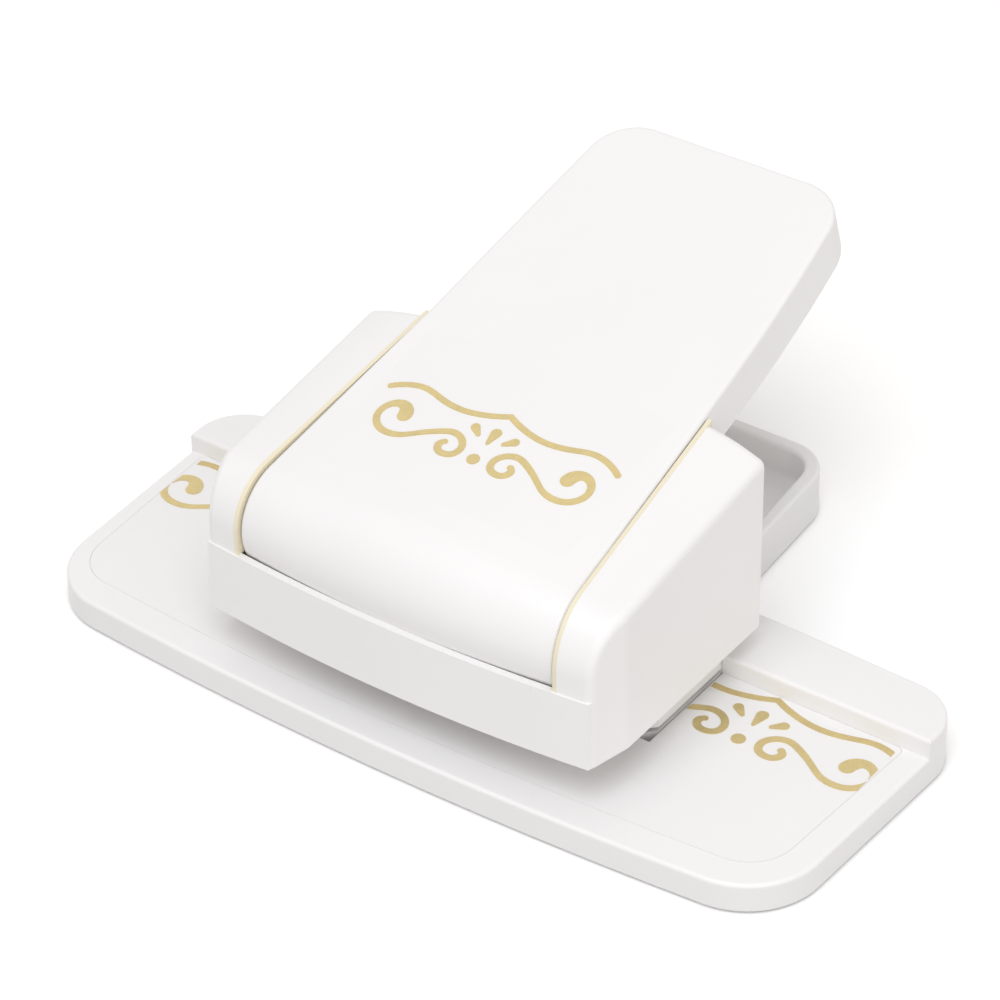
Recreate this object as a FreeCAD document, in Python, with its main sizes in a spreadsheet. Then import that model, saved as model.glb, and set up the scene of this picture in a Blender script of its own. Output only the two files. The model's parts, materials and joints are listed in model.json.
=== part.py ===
import FreeCAD, Part
import math
import os

import Sketcher
from FreeCAD import Placement, Rotation, Vector

# Border punch: a wide base with a fence and a tail tray, a head with two
# cheeks, and a lever that presses a set of shaped punches through paper.
# Lengths in millimetres. X runs along the fence, Y from the front edge to the
# tail, Z up. The origin is on the table, under the middle of the outline.

doc = FreeCAD.newDocument("BorderPunch")

# Driving dimensions

DIMENSIONS = [
    # base plate
    ("base_back_width", 160.0),
    ("base_front_width", 155.2),
    ("base_side_depth", 57.8),
    ("base_bow", 3.9),
    ("base_back_bulge", 1.4),
    ("front_corner", 14.7),
    ("back_corner", 9.8),
    ("foot_proud", 0.6),
    ("deck_height", 5.5),
    ("deck_wall", 2.0),
    ("side_wall", 2.2),
    ("rim_round", 0.7),
    ("fence_rise", 3.8),
    ("fence_depth", 12.3),
    # tail tray
    ("tail_length", 49.1),
    ("tail_root_width", 53.2),
    ("tail_end_width", 46.0),
    ("tail_corner", 9.0),
    ("tray_rim", 2.9),
    ("tray_floor", 2.2),
    ("tray_edge_round", 0.9),
    ("tray_floor_round", 1.6),
    # guide sheet and prints
    ("sheet_inset", 4.8),
    ("sheet_gap", 0.05),
    ("sheet_die_gap", 0.3),
    ("sheet_corner", 9.0),
    ("sheet_thick", 0.25),
    ("left_shift", 2.0),
    ("print_thick", 0.12),
    ("repeat_pitch", 50.2),
    ("pattern_setback", 13.6),
    ("lever_print_scale", 0.886),
    # bottom cover and fixings
    ("cover_wall", 1.2),
    ("cover_recess", 0.3),
    ("cover_gap", 0.15),
    ("cover_ledge", 1.2),
    ("foot_radius", 5.0),
    ("foot_side_inset", 12.0),
    ("foot_end_inset", 12.0),
    ("tail_foot_setback", 10.0),
    ("boss_radius", 3.2),
    ("boss_side_inset", 24.0),
    ("boss_end_inset", 8.5),
    ("small_screw", 1.1),
    ("small_head", 2.1),
    # die set
    ("die_spread", 5.35),
    ("die_reach", 22.5),
    ("die_thick", 3.0),
    ("die_chamfer", 3.0),
    ("neck_back_gap", 1.9),
    ("bed_margin", 2.6),
    ("throat_slit", 0.9),
    ("throat_height", 8.3),
    ("seat_gap", 0.1),
    ("snug_gap", 0.03),
    ("punch_gap", 0.06),
    ("chip_margin", 1.2),
    ("neck_screw", 1.5),
    ("neck_screw_head", 2.6),
    ("neck_screw_head_height", 1.2),
    ("neck_screw_depth", 10.5),
    ("neck_screw_outer", 30.0),
    ("neck_screw_inner", 11.0),
    # head
    ("cheek_spread", 9.25),
    ("head_setback", 5.5),
    ("head_side_depth", 41.3),
    ("cheek_front_spread", 7.15),
    ("head_front_drop", 8.9),
    ("head_bow", 2.3),
    ("wall_root", 2.0),
    ("head_draft", 1.0),
    ("head_side_bend", 6.0),
    ("head_back_lean", 1.3),
    ("head_back_round", 1.8),
    ("head_floor", 2.2),
    ("head_back_wall", 2.2),
    ("lip_wall", 1.6),
    ("lip_height", 21.8),
    ("back_wall_height", 24.6),
    ("cheek_back_height", 44.9),
    ("cheek_radius", 10.9),
    ("cheek_round", 1.8),
    ("face_spare", 0.9),
    ("cheek_back_fall", 3.9),
    ("cheek_middle_fall", 1.4),
    ("cheek_outer", 5.9),
    ("cheek_nose_fall", 0.95),
    ("cheek_wall", 2.3),
    ("cheek_hollow_rise", 7.5),
    ("cheek_hollow_setback", 5.2),
    ("head_screw", 1.4),
    ("head_screw_head", 2.6),
    ("head_screw_height", 12.0),
    ("head_screw_inset", 3.3),
    ("head_screw_front", 5.4),
    ("head_screw_back", 9.4),
    ("bore_rest", 0.4),
    ("boss_wall", 1.4),
    # lever
    ("pivot_height", 25.9),
    ("pivot_to_back", 39.0),
    ("pin_radius", 2.0),
    ("pin_grip", 5.0),
    ("pin_gap", 0.05),
    ("lever_gap", 0.25),
    ("liner_thick", 0.8),
    ("liner_drop", 0.02),
    ("liner_foot", 0.6),
    ("lever_front_width", 65.3),
    ("lever_back_width", 50.4),
    ("lever_front_over", 13.8),
    ("lever_length", 92.2),
    ("lever_corner", 9.0),
    ("nose_radius", 10.4),
    ("nose_crown", 1.9),
    ("edge_slope", 13.0),
    ("middle_slope", 11.5),
    ("bend_reach", 30.2),
    ("lever_end_rise", 35.2),
    ("lever_end_skirt", 7.5),
    ("grip_tilt", 16.0),
    ("grip_flare", 0.19),
    ("grip_bow", 0.3),
    ("grip_start", 2.2),
    ("grip_over", 3.0),
    ("lever_rim_round", 0.8),
    ("lever_bend_skirt", 9.4),
    ("skirt_sag", 1.1),
    ("knee_reach", 9.2),
    ("knee_drop", 2.5),
    ("lever_wall", 2.2),
    ("lever_side_wall", 1.9),
    ("lever_end_wall", 2.4),
    ("hub_radius", 4.4),
    ("hub_length", 9.0),
    ("bush_wall", 1.1),
    ("bush_inset", 0.3),
    ("rib_wall", 1.4),
    ("rib_pitch", 12.0),
    ("rib_inset", 1.5),
    ("lever_swing", 11.4),
    ("stop_gap", 0.3),
    ("label_width", 52.0),
    ("label_back", 36.2),
    ("label_front", 2.0),
    ("label_thick", 0.2),
    ("label_corner", 1.5),
    ("label_print_reach", 12.9),
    # parts under the lever
    ("stiffener_thick", 1.2),
    ("stiffener_width", 44.0),
    ("stiffener_front", 6.0),
    ("stiffener_back", 34.0),
    ("stiffener_screw", 1.1),
    ("stiffener_gap", 0.5),
    ("stiffener_bolt_head", 1.0),
    ("stiffener_bolt_length", 3.4),
    ("press_reach", 25.0),
    ("press_bar_width", 44.0),
    ("press_bar_radius", 3.0),
    ("press_gap", 0.3),
    ("stop_radius", 3.0),
    ("stop_height", 2.6),
    ("stop_spread", 18.0),
    # punch set
    ("punch_rest_lift", 2.1),
    ("holder_width", 57.2),
    ("ear_reach", 2.3),
    ("ear_depth", 6.8),
    ("holder_depth", 20.0),
    ("holder_thick", 5.0),
    ("holder_height", 18.3),
    ("backing_thick", 1.5),
    ("backing_inset", 3.4),
    ("punch_tenon", 2.5),
    ("post_radius", 1.4),
    ("post_spread", 27.9),
    ("post_setback", 0.4),
    ("post_top", 1.0),
    ("post_seat", 5.0),
    ("post_gap", 0.05),
    ("post_bush_wall", 0.7),
    ("clip_radius", 2.2),
    ("clip_thick", 0.6),
    ("clip_gap", 0.2),
    ("spring_wire", 0.7),
    ("spring_radius", 2.25),
    ("spring_turns", 6.0),
    ("holder_screw", 0.9),
    ("holder_screw_spread", 13.0),
]

sheet = doc.addObject("Spreadsheet::Sheet", "Dims")
for row, (alias, value) in enumerate(DIMENSIONS, start=1):
    sheet.set(f"A{row}", alias)
    sheet.set(f"B{row}", str(value))
    sheet.setAlias(f"B{row}", alias)
doc.recompute()


def d(alias):
    """Expression that reads one driving dimension."""
    return f"Dims.{alias}"


def num(expression):
    """Value of an expression at the present sizes."""
    return float(sheet.evalExpression(str(expression)))


# Places that several pieces share, as expressions of the sheet

BACK = "((Dims.base_bow + Dims.base_side_depth - Dims.tail_length) / 2)"
FRONT = f"({BACK} - Dims.base_side_depth)"
TAIL_END = f"({BACK} + Dims.tail_length)"
FENCE = f"({BACK} - Dims.fence_depth)"
SHELL = "Dims.foot_proud"
DECK = "(Dims.foot_proud + Dims.deck_height)"
FENCE_TOP = f"({DECK} + Dims.fence_rise)"
HEAD_BASE = f"({DECK} + Dims.throat_height)"
HEAD_BACK = f"({BACK} - Dims.head_setback)"
HEAD_FLOOR = f"({HEAD_BASE} + Dims.head_floor)"
NECK_BACK = f"({BACK} - Dims.neck_back_gap)"
DIE_FRONT = f"({FENCE} - Dims.die_reach)"
DIE_BASE = f"({DECK} - Dims.die_thick)"
SLIT_TOP = f"({DECK} + Dims.throat_slit)"
COVER_FACE = f"({SHELL} + Dims.cover_recess)"
COVER_TOP = f"({COVER_FACE} + Dims.cover_wall)"
PIVOT_Y = f"({HEAD_BACK} - Dims.pivot_to_back)"
PIVOT_Z = f"({DECK} + Dims.pivot_height)"
LIP = f"({DECK} + Dims.lip_height)"
WELL_BACK = f"({HEAD_BACK} - Dims.head_back_wall)"
PATTERN_Y = f"({FENCE} - Dims.pattern_setback)"
PRESS_Y = f"({PIVOT_Y} + Dims.press_reach)"
HOLDER_BASE = f"({DECK} + Dims.holder_height)"
HOLDER_TOP = f"({HOLDER_BASE} + Dims.holder_thick)"
BACKING_TOP = f"({HOLDER_TOP} + Dims.backing_thick)"
LEVER_FRONT = f"({PIVOT_Y} - Dims.lever_front_over)"
LEVER_END = f"({PIVOT_Y} + Dims.lever_length)"
NECK_SCREW_Y = f"(({FENCE} + {NECK_BACK}) / 2)"
DIE_HALF = "(Dims.lever_front_width / 2 + Dims.die_spread)"
HEAD_HALF = "(Dims.lever_front_width / 2 + Dims.cheek_spread)"
HEAD_FRONT_HALF = "(Dims.lever_front_width / 2 + Dims.cheek_front_spread)"


def base_half(y):
    """Half width of the base plate at a place along Y."""
    return (f"(Dims.base_back_width / 2 - (Dims.base_back_width - Dims.base_front_width) / 2"
            f" * ({BACK} - ({y})) / Dims.base_side_depth)")


def lever_half(y):
    """Half width of the lever at a place along Y."""
    return (f"(Dims.lever_front_width / 2 - (Dims.lever_front_width - Dims.lever_back_width) / 2"
            f" * (({y}) - {LEVER_FRONT}) / (Dims.lever_length + Dims.lever_front_over))")


def well_half(y):
    """Half width of the head's well, which the liners and the lever share."""
    return f"({lever_half(y)} + Dims.lever_gap + Dims.liner_thick)"


def bow_radius(chord, rise):
    """Radius of an arc from its chord and its rise."""
    return f"((({chord}) ^ 2 / 4 + ({rise}) ^ 2) / (2 * ({rise})))"


# Building blocks

ALONG_Y = Rotation(Vector(1, 1, 1), 120)      # sketch X to Y, sketch Y to Z
XZ_FACE = Rotation(Vector(1, 0, 0), 90)       # sketch X to X, sketch Y to Z
nodes = []


def finish(obj, label):
    """Make an object a piece of the punch under its own name."""
    obj.Label = label
    nodes.append(obj)
    return obj


def new_body(label):
    body = doc.addObject("PartDesign::Body", label)
    return finish(body, label)


def body_plane(body, role):
    for feature in body.Origin.OriginFeatures:
        if feature.Role == role:
            return feature
    raise ValueError(role)


def draw(sketch, points, arcs=None):
    """Closed outline through points given as expressions.

    arcs maps the number of a side to its radius expression and the side on
    which its centre lies: 1 for left, -1 for right of the direction of travel.
    """
    arcs = arcs or {}
    values = [Vector(num(x), num(y), 0) for x, y in points]
    count = len(points)
    ids = []
    for i in range(count):
        start = values[i]
        end = values[(i + 1) % count]
        if i in arcs:
            radius, side = arcs[i]
            reach = num(radius)
            chord = end - start
            lift = math.sqrt(max(reach ** 2 - chord.Length ** 2 / 4, 0.0))
            normal = Vector(-chord.y, chord.x, 0).normalize() * side
            centre = (start + end) * 0.5 + normal * lift
            circle = Part.Circle(centre, Vector(0, 0, 1), reach)
            first, last = (start, end) if side > 0 else (end, start)
            low = math.atan2(first.y - centre.y, first.x - centre.x)
            high = math.atan2(last.y - centre.y, last.x - centre.x)
            if high < low:
                high += 2 * math.pi
            edge = Part.ArcOfCircle(circle, low, high)
            ids.append((sketch.addGeometry(edge), 1 if side > 0 else 2, 2 if side > 0 else 1))
        else:
            ids.append((sketch.addGeometry(Part.LineSegment(start, end)), 1, 2))
    for i in range(count):
        geo, head, tail = ids[i]
        follower, follower_head, _ = ids[(i + 1) % count]
        sketch.addConstraint(Sketcher.Constraint("Coincident", geo, tail, follower, follower_head))
        place(sketch, geo, head, points[i])
        if i in arcs:
            bind(sketch, Sketcher.Constraint("Radius", geo, num(arcs[i][0])), arcs[i][0])
    return sketch


def bind(sketch, constraint, expression):
    index = sketch.addConstraint(constraint)
    sketch.setExpression(f"Constraints[{index}]", str(expression))


def place(sketch, geo, position, point):
    """Tie one point of a sketch to its two coordinates."""
    for kind, expression in zip(("DistanceX", "DistanceY"), point):
        value = num(expression)
        bind(sketch, Sketcher.Constraint(kind, -1, 1, geo, position, value), expression)


def ring(sketch, x, y, radius):
    """Circle with its centre and radius tied to expressions."""
    circle = Part.Circle(Vector(num(x), num(y), 0), Vector(0, 0, 1), num(radius))
    geo = sketch.addGeometry(circle)
    place(sketch, geo, 3, (x, y))
    bind(sketch, Sketcher.Constraint("Radius", geo, num(radius)), radius)


def body_sketch(body, name, role="XY_Plane", offset="0"):
    """Sketch on a plane of its own body, lifted along the plane's normal."""
    sketch = body.newObject("Sketcher::SketchObject", name)
    sketch.AttachmentSupport = [(body_plane(body, role), "")]
    sketch.MapMode = "FlatFace"
    sketch.setExpression("AttachmentOffset.Base.z", str(offset))
    doc.recompute()
    return sketch


def free_sketch(name, rotation=Rotation(), offset="0", axis="z"):
    """Sketch of its own for the solids that are put together by booleans."""
    sketch = doc.addObject("Sketcher::SketchObject", name)
    sketch.Placement = Placement(Vector(0, 0, 0), rotation)
    sketch.setExpression(f"Placement.Base.{axis}", str(offset))
    return sketch


def pad(body, sketch, length, symmetric=False):
    feature = body.newObject("PartDesign::Pad", "Pad")
    feature.Profile = sketch
    feature.setExpression("Length", str(length))
    feature.Midplane = symmetric
    doc.recompute()
    return feature


def pocket(body, sketch, depth, upward=False, symmetric=False):
    """Cut a sketch out of a body and make sure that it took material away."""
    before = body.Shape.Volume
    feature = body.newObject("PartDesign::Pocket", "Pocket")
    feature.Profile = sketch
    feature.setExpression("Length", str(depth))
    feature.Midplane = symmetric
    feature.Reversed = upward
    doc.recompute()
    if not body.Shape.Volume < before:
        raise ValueError(f"{feature.Name} in {body.Label} cut nothing")
    return feature


def round_edges(body, radius, wanted, kind="PartDesign::Fillet"):
    """Round every edge of a body that the test picks."""
    base = body.Tip
    names = [f"Edge{i}" for i, edge in enumerate(base.Shape.Edges, start=1) if wanted(edge)]
    if not names:
        raise ValueError(f"no edge to round in {body.Label}")
    feature = body.newObject(kind, "Round")
    feature.Base = (base, names)
    feature.setExpression("Radius" if kind.endswith("Fillet") else "Size", str(radius))
    doc.recompute()
    return feature


def extrude(sketch, length, name, symmetric=False):
    feature = doc.addObject("Part::Extrusion", name)
    feature.Base = sketch
    feature.DirMode = "Normal"
    feature.Solid = True
    feature.Symmetric = symmetric
    feature.setExpression("LengthFwd", str(length))
    return feature


def at(obj, x, y, z, rotation=Rotation()):
    """Put a primitive at a place given by three expressions."""
    obj.Placement = Placement(Vector(0, 0, 0), rotation)
    for axis, expression in zip("xyz", (x, y, z)):
        obj.setExpression(f"Placement.Base.{axis}", str(expression))
    return obj


def cylinder(name, radius, length, x, y, z, rotation=Rotation()):
    obj = doc.addObject("Part::Cylinder", name)
    obj.setExpression("Radius", str(radius))
    obj.setExpression("Height", str(length))
    return at(obj, x, y, z, rotation)


def cone(name, low, high, length, x, y, z):
    obj = doc.addObject("Part::Cone", name)
    obj.setExpression("Radius1", str(low))
    obj.setExpression("Radius2", str(high))
    obj.setExpression("Height", str(length))
    return at(obj, x, y, z)


def box(name, x, y, z, length, width, height):
    obj = doc.addObject("Part::Box", name)
    obj.setExpression("Length", str(length))
    obj.setExpression("Width", str(width))
    obj.setExpression("Height", str(height))
    return at(obj, x, y, z)


def fuse(name, *parts):
    obj = doc.addObject("Part::MultiFuse", name)
    obj.Shapes = list(parts)
    return obj


def cut(name, base, *tools):
    """Take one or more tools away from a base."""
    tool = tools[0] if len(tools) == 1 else fuse(f"{name}_tools", *tools)
    obj = doc.addObject("Part::Cut", name)
    obj.Base = base
    obj.Tool = tool
    return obj


def common(name, one, other):
    obj = doc.addObject("Part::MultiCommon", name)
    obj.Shapes = [one, other]
    return obj


def trapezoid(front, back, front_half, back_half):
    """Four corners of a plan outline that is symmetric about X = 0."""
    return [(f"-({front_half})", front), (front_half, front),
            (back_half, back), (f"-({back_half})", back)]


def rounded_plan(front, back, front_half, back_half, front_round, back_round):
    """Symmetric plan outline with rounded corners: points and arcs."""
    points = [
        (f"-({front_half}) + ({front_round})", front),
        (f"({front_half}) - ({front_round})", front),
        (front_half, f"({front}) + ({front_round})"),
        (back_half, f"({back}) - ({back_round})"),
        (f"({back_half}) - ({back_round})", back),
        (f"-({back_half}) + ({back_round})", back),
        (f"-({back_half})", f"({back}) - ({back_round})"),
        (f"-({front_half})", f"({front}) + ({front_round})"),
    ]
    arcs = {1: (front_round, 1), 3: (back_round, 1), 5: (back_round, 1), 7: (front_round, 1)}
    return points, arcs


def upright(edge, x_low, y_low, y_high):
    """True for a vertical straight edge outside |x| > x_low within a band of Y."""
    middle = edge.BoundBox.Center
    size = edge.BoundBox
    straight = size.XLength < 0.01 and size.YLength < 0.01 and size.ZLength > 1
    return straight and abs(middle.x) > x_low and y_low < middle.y < y_high


# Base shell: plate, fence, tail tray and the bed of the die set in one moulding

ORNAMENT_HALF = 27.3     # reach of the ornament to either side of its dot
ORNAMENT_LOW = 2.1       # and below the middle of the dot
BED_FRONT = f"({DIE_FRONT} - Dims.bed_margin)"
BED_HALF = f"({DIE_HALF} + Dims.bed_margin)"
CHIP_FRONT = f"({PATTERN_Y} - {ORNAMENT_LOW} - Dims.punch_gap - Dims.chip_margin)"
CHIP_BACK = f"({FENCE} + Dims.chip_margin)"
CHIP_HALF = f"({ORNAMENT_HALF} + Dims.punch_gap + Dims.chip_margin)"
BOSS_X = "(Dims.base_back_width / 2 - Dims.boss_side_inset)"
BOSS_FRONT = f"({FRONT} + Dims.boss_end_inset)"
BOSS_BACK = f"({BACK} - Dims.boss_end_inset)"
NECK_SCREWS = [(f"({sign} * Dims.neck_screw_{place_name})", NECK_SCREW_Y)
               for sign in (-1, 1) for place_name in ("outer", "inner")]
COVER_SCREWS = [(f"({sign} * {BOSS_X})", y) for sign in (-1, 1) for y in (BOSS_FRONT, BOSS_BACK)]

base_shell = new_body("base_shell")
plate = body_sketch(base_shell, "plate_outline", offset=SHELL)
BACK_LINE = [(BED_HALF, f"({BACK} + Dims.base_back_bulge)"), (f"-{BED_HALF}", f"({BACK} + Dims.base_back_bulge)")]


def bulged(front):
    """Outline of the plate behind a line along X, its back edge a little out in the middle."""
    points = trapezoid(front, BACK, base_half(front), base_half(BACK))
    return points[:3] + BACK_LINE + points[3:]


draw(plate, bulged(FRONT), {0: (bow_radius(f"2 * {base_half(FRONT)}", d("base_bow")), 1)})
pad(base_shell, plate, d("deck_height"))
fence = body_sketch(base_shell, "fence_outline", offset=SHELL)
draw(fence, bulged(FENCE))
pad(base_shell, fence, "Dims.deck_height + Dims.fence_rise")
tail = body_sketch(base_shell, "tail_outline", offset=SHELL)
draw(tail, trapezoid(f"{BACK} - 2 * Dims.side_wall", TAIL_END,
                     "Dims.tail_root_width / 2", "Dims.tail_end_width / 2"))
pad(base_shell, tail, "Dims.deck_height + Dims.fence_rise")
round_edges(base_shell, d("front_corner"),
            lambda edge: upright(edge, num(BED_HALF), num(FRONT) - 5, num(FRONT) + 5))
round_edges(base_shell, d("back_corner"),
            lambda edge: upright(edge, num(BED_HALF), num(BACK) - 1, num(BACK) + 1))
round_edges(base_shell, d("tail_corner"),
            lambda edge: upright(edge, 0, num(TAIL_END) - 1, num(TAIL_END) + 1))


def rim_edge(edge):
    """Upper outer edges of the plate, the fence and the tail."""
    size = edge.BoundBox
    flat = size.ZLength < 0.01
    on_top = abs(size.Center.z - num(FENCE_TOP)) < 0.01
    on_deck = abs(size.Center.z - num(DECK)) < 0.01 and size.Center.y < num(FENCE) - 0.5
    return flat and (on_top or on_deck)


round_edges(base_shell, d("rim_round"), rim_edge)

UNDER_FRONT = f"({FRONT} + Dims.side_wall)"
UNDER_BACK = f"({BACK} - Dims.side_wall)"


def under_outline(sketch, inset, bed_gap=None):
    """Outline inside the side walls; with a bed gap it runs round the bed of the die set."""
    front_half = f"({base_half(FRONT)} - Dims.side_wall - {inset})"
    back_half = f"({base_half(BACK)} - Dims.side_wall - {inset})"
    back = f"({UNDER_BACK} - {inset})"
    points, arcs = rounded_plan(f"({UNDER_FRONT} + {inset})", back, front_half, back_half,
                                "(Dims.front_corner - Dims.side_wall)",
                                "(Dims.back_corner - Dims.side_wall)")
    if bed_gap is not None:
        half = f"({BED_HALF} + {bed_gap})"
        front = f"({BED_FRONT} - {bed_gap})"
        points[5:5] = [(half, back), (half, front), (f"-{half}", front), (f"-{half}", back)]
        arcs = {1: arcs[1], 3: arcs[3], 9: arcs[5], 11: arcs[7]}
    draw(sketch, points, arcs)


recess = body_sketch(base_shell, "cover_recess_outline", offset=SHELL)
under_outline(recess, "0")
pocket(base_shell, recess, d("cover_recess"), upward=True)
seat = body_sketch(base_shell, "cover_seat_outline", offset=SHELL)
under_outline(seat, "0", "0")
pocket(base_shell, seat, "Dims.cover_recess + Dims.cover_wall", upward=True)
hollow = body_sketch(base_shell, "hollow_outline", offset=SHELL)
under_outline(hollow, d("cover_ledge"), "0")
for x, y in COVER_SCREWS:
    ring(hollow, x, y, d("boss_radius"))
pocket(base_shell, hollow, "Dims.deck_height - Dims.deck_wall", upward=True)
for sign in (-1, 1):
    inner = f"({BED_HALF} + Dims.side_wall)"
    outer = f"({base_half(BACK)} - Dims.side_wall - Dims.back_corner / 2)"
    boss_inner = f"({BOSS_X} - Dims.boss_radius)"
    boss_outer = f"({BOSS_X} + Dims.boss_radius)"
    for low, high in ((inner, boss_inner), (boss_outer, outer)):
        near, far = (low, high) if sign > 0 else (f"-{high}", f"-{low}")
        band = body_sketch(base_shell, "fence_hollow_outline", offset=SHELL)
        draw(band, [(near, f"{FENCE} + Dims.side_wall"), (far, f"{FENCE} + Dims.side_wall"),
                    (far, f"{UNDER_BACK} - Dims.cover_ledge"), (near, f"{UNDER_BACK} - Dims.cover_ledge")])
        pocket(base_shell, band, "Dims.deck_height + Dims.fence_rise - Dims.deck_wall",
               upward=True)

# Seat of the die set, cut through the fence, and the way out for the chips
die_seat = body_sketch(base_shell, "die_seat_outline", offset=FENCE_TOP)
draw(die_seat, trapezoid(f"{DIE_FRONT} - Dims.seat_gap", f"{NECK_BACK} + Dims.seat_gap",
                         f"{DIE_HALF} + Dims.seat_gap", f"{DIE_HALF} + Dims.seat_gap"))
pocket(base_shell, die_seat, "Dims.fence_rise + Dims.die_thick")
chip_way = body_sketch(base_shell, "chip_way_outline", offset=DIE_BASE)
draw(chip_way, trapezoid(CHIP_FRONT, CHIP_BACK, CHIP_HALF, CHIP_HALF))
pocket(base_shell, chip_way, f"{DIE_BASE} - {SHELL} + 1")

# Tray in the tail
tray = body_sketch(base_shell, "tray_outline", offset=FENCE_TOP)
draw(tray, trapezoid(f"({BACK} + Dims.base_back_bulge + Dims.tray_rim)", f"({TAIL_END} - Dims.tray_rim)",
                     "(Dims.tail_root_width / 2 - Dims.tray_rim)",
                     "(Dims.tail_end_width / 2 - Dims.tray_rim)"))
pocket(base_shell, tray, "Dims.deck_height + Dims.fence_rise - Dims.tray_floor")


def in_tray(edge):
    size = edge.BoundBox
    front = num(f"{BACK} + Dims.base_back_bulge + Dims.tray_rim")
    return size.YMin > front - 0.01 and size.YMax < num(f"{TAIL_END} - Dims.tray_rim") + 0.01


def tray_edges(height):
    """Test for the edges of the tray that lie at one height."""
    def wanted(edge):
        size = edge.BoundBox
        return in_tray(edge) and size.ZLength < 0.01 and abs(size.Center.z - num(height)) < 0.01
    return wanted


round_edges(base_shell, "(Dims.tail_corner - Dims.tray_rim)",
            lambda edge: in_tray(edge) and upright(edge, 0, num(BACK), num(TAIL_END)))
round_edges(base_shell, d("tray_edge_round"), tray_edges(FENCE_TOP))
round_edges(base_shell, d("tray_floor_round"), tray_edges(f"{SHELL} + Dims.tray_floor"))

# Recess of the guide sheet and the screw holes


def sheet_outline(sketch, inset):
    points, arcs = rounded_plan(f"({FRONT} + Dims.sheet_inset + {inset})", f"({FENCE} - {inset})",
                                f"({base_half(FRONT)} - Dims.sheet_inset - {inset})",
                                f"({base_half(FENCE)} - Dims.sheet_inset - {inset})",
                                d("sheet_corner"), "(Dims.sheet_corner / 6)")
    front_half = f"({base_half(FRONT)} - Dims.sheet_inset - {inset} - Dims.sheet_corner)"
    arcs[0] = (bow_radius(f"(2 * {front_half} + Dims.left_shift)", "(Dims.base_bow * 0.7)"), 1)
    for i in (0, 5, 6, 7):
        points[i] = (f"{points[i][0]} - Dims.left_shift", points[i][1])
    draw(sketch, points, arcs)


sheet_recess = body_sketch(base_shell, "sheet_recess_outline", offset=DECK)
sheet_outline(sheet_recess, "0")
pocket(base_shell, sheet_recess, d("sheet_thick"))
holes = body_sketch(base_shell, "cover_screw_holes", offset=COVER_TOP)
for x, y in COVER_SCREWS:
    ring(holes, x, y, d("small_screw"))
pocket(base_shell, holes, "Dims.deck_height - Dims.deck_wall - Dims.cover_recess - Dims.cover_wall",
       upward=True)
neck_holes = body_sketch(base_shell, "neck_screw_holes", offset=DIE_BASE)
for x, y in NECK_SCREWS:
    ring(neck_holes, x, y, d("neck_screw"))
pocket(base_shell, neck_holes, f"{DIE_BASE} - {SHELL}")
head_holes = body_sketch(base_shell, "neck_screw_head_holes", offset=SHELL)
for x, y in NECK_SCREWS:
    ring(head_holes, x, y, "Dims.neck_screw_head + Dims.seat_gap")
pocket(base_shell, head_holes, "Dims.cover_recess + Dims.neck_screw_head_height", upward=True)

# Bottom cover, its screws and the feet

bottom_cover = new_body("bottom_cover")
cover = body_sketch(bottom_cover, "cover_outline", offset=COVER_FACE)
under_outline(cover, "Dims.cover_gap", "Dims.cover_gap")
for x, y in COVER_SCREWS:
    ring(cover, x, y, "Dims.small_screw + Dims.seat_gap")
pad(bottom_cover, cover, d("cover_wall"))
sinks = [cone("cover_screw_sink", "Dims.small_head + Dims.seat_gap",
              "Dims.small_screw + Dims.seat_gap", "Dims.small_head - Dims.small_screw",
              x, y, COVER_FACE) for x, y in COVER_SCREWS]
nodes.remove(bottom_cover)
bottom_cover.Label = "cover_plate"
finish(cut("cover_sunk", bottom_cover, *sinks), "bottom_cover")


def sunk_screw(label, x, y, z, shank, head, length):
    """Countersunk screw driven upward, its head flush with z."""
    rise = f"({head} - {shank})"
    parts = [cone(f"{label}_head", head, shank, rise, x, y, z),
             cylinder(f"{label}_shank", shank, f"{length} - {rise}", x, y, f"{z} + {rise}")]
    return finish(fuse(f"{label}_body", *parts), label)


def name_of(x, y):
    """Words for the corner in which a piece stands."""
    return ("left" if num(x) < 0 else "right") + ("_front" if num(y) < num(BOSS_BACK) - 5 else "_back")


for x, y in COVER_SCREWS:
    sunk_screw(f"cover_screw_{name_of(x, y)}", x, y, COVER_FACE, d("small_screw"),
               d("small_head"), "Dims.deck_height - Dims.deck_wall - Dims.cover_recess - 0.2")

for side, sign in (("left", -1), ("right", 1)):
    for end, y in (("front", f"({FRONT} + Dims.foot_end_inset)"),
                   ("back", f"({BACK} - Dims.foot_end_inset)")):
        foot_x = f"{sign} * ({base_half(y)} - Dims.foot_side_inset)"
        finish(cylinder("foot", d("foot_radius"), COVER_FACE, foot_x, y, "0"), f"foot_{side}_{end}")
finish(cylinder("foot", d("foot_radius"), SHELL, "0", f"{TAIL_END} - Dims.tail_foot_setback", "0"),
       "foot_tail")

# Border ornament: outlines in its own plane, U across and W away from the dot

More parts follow.
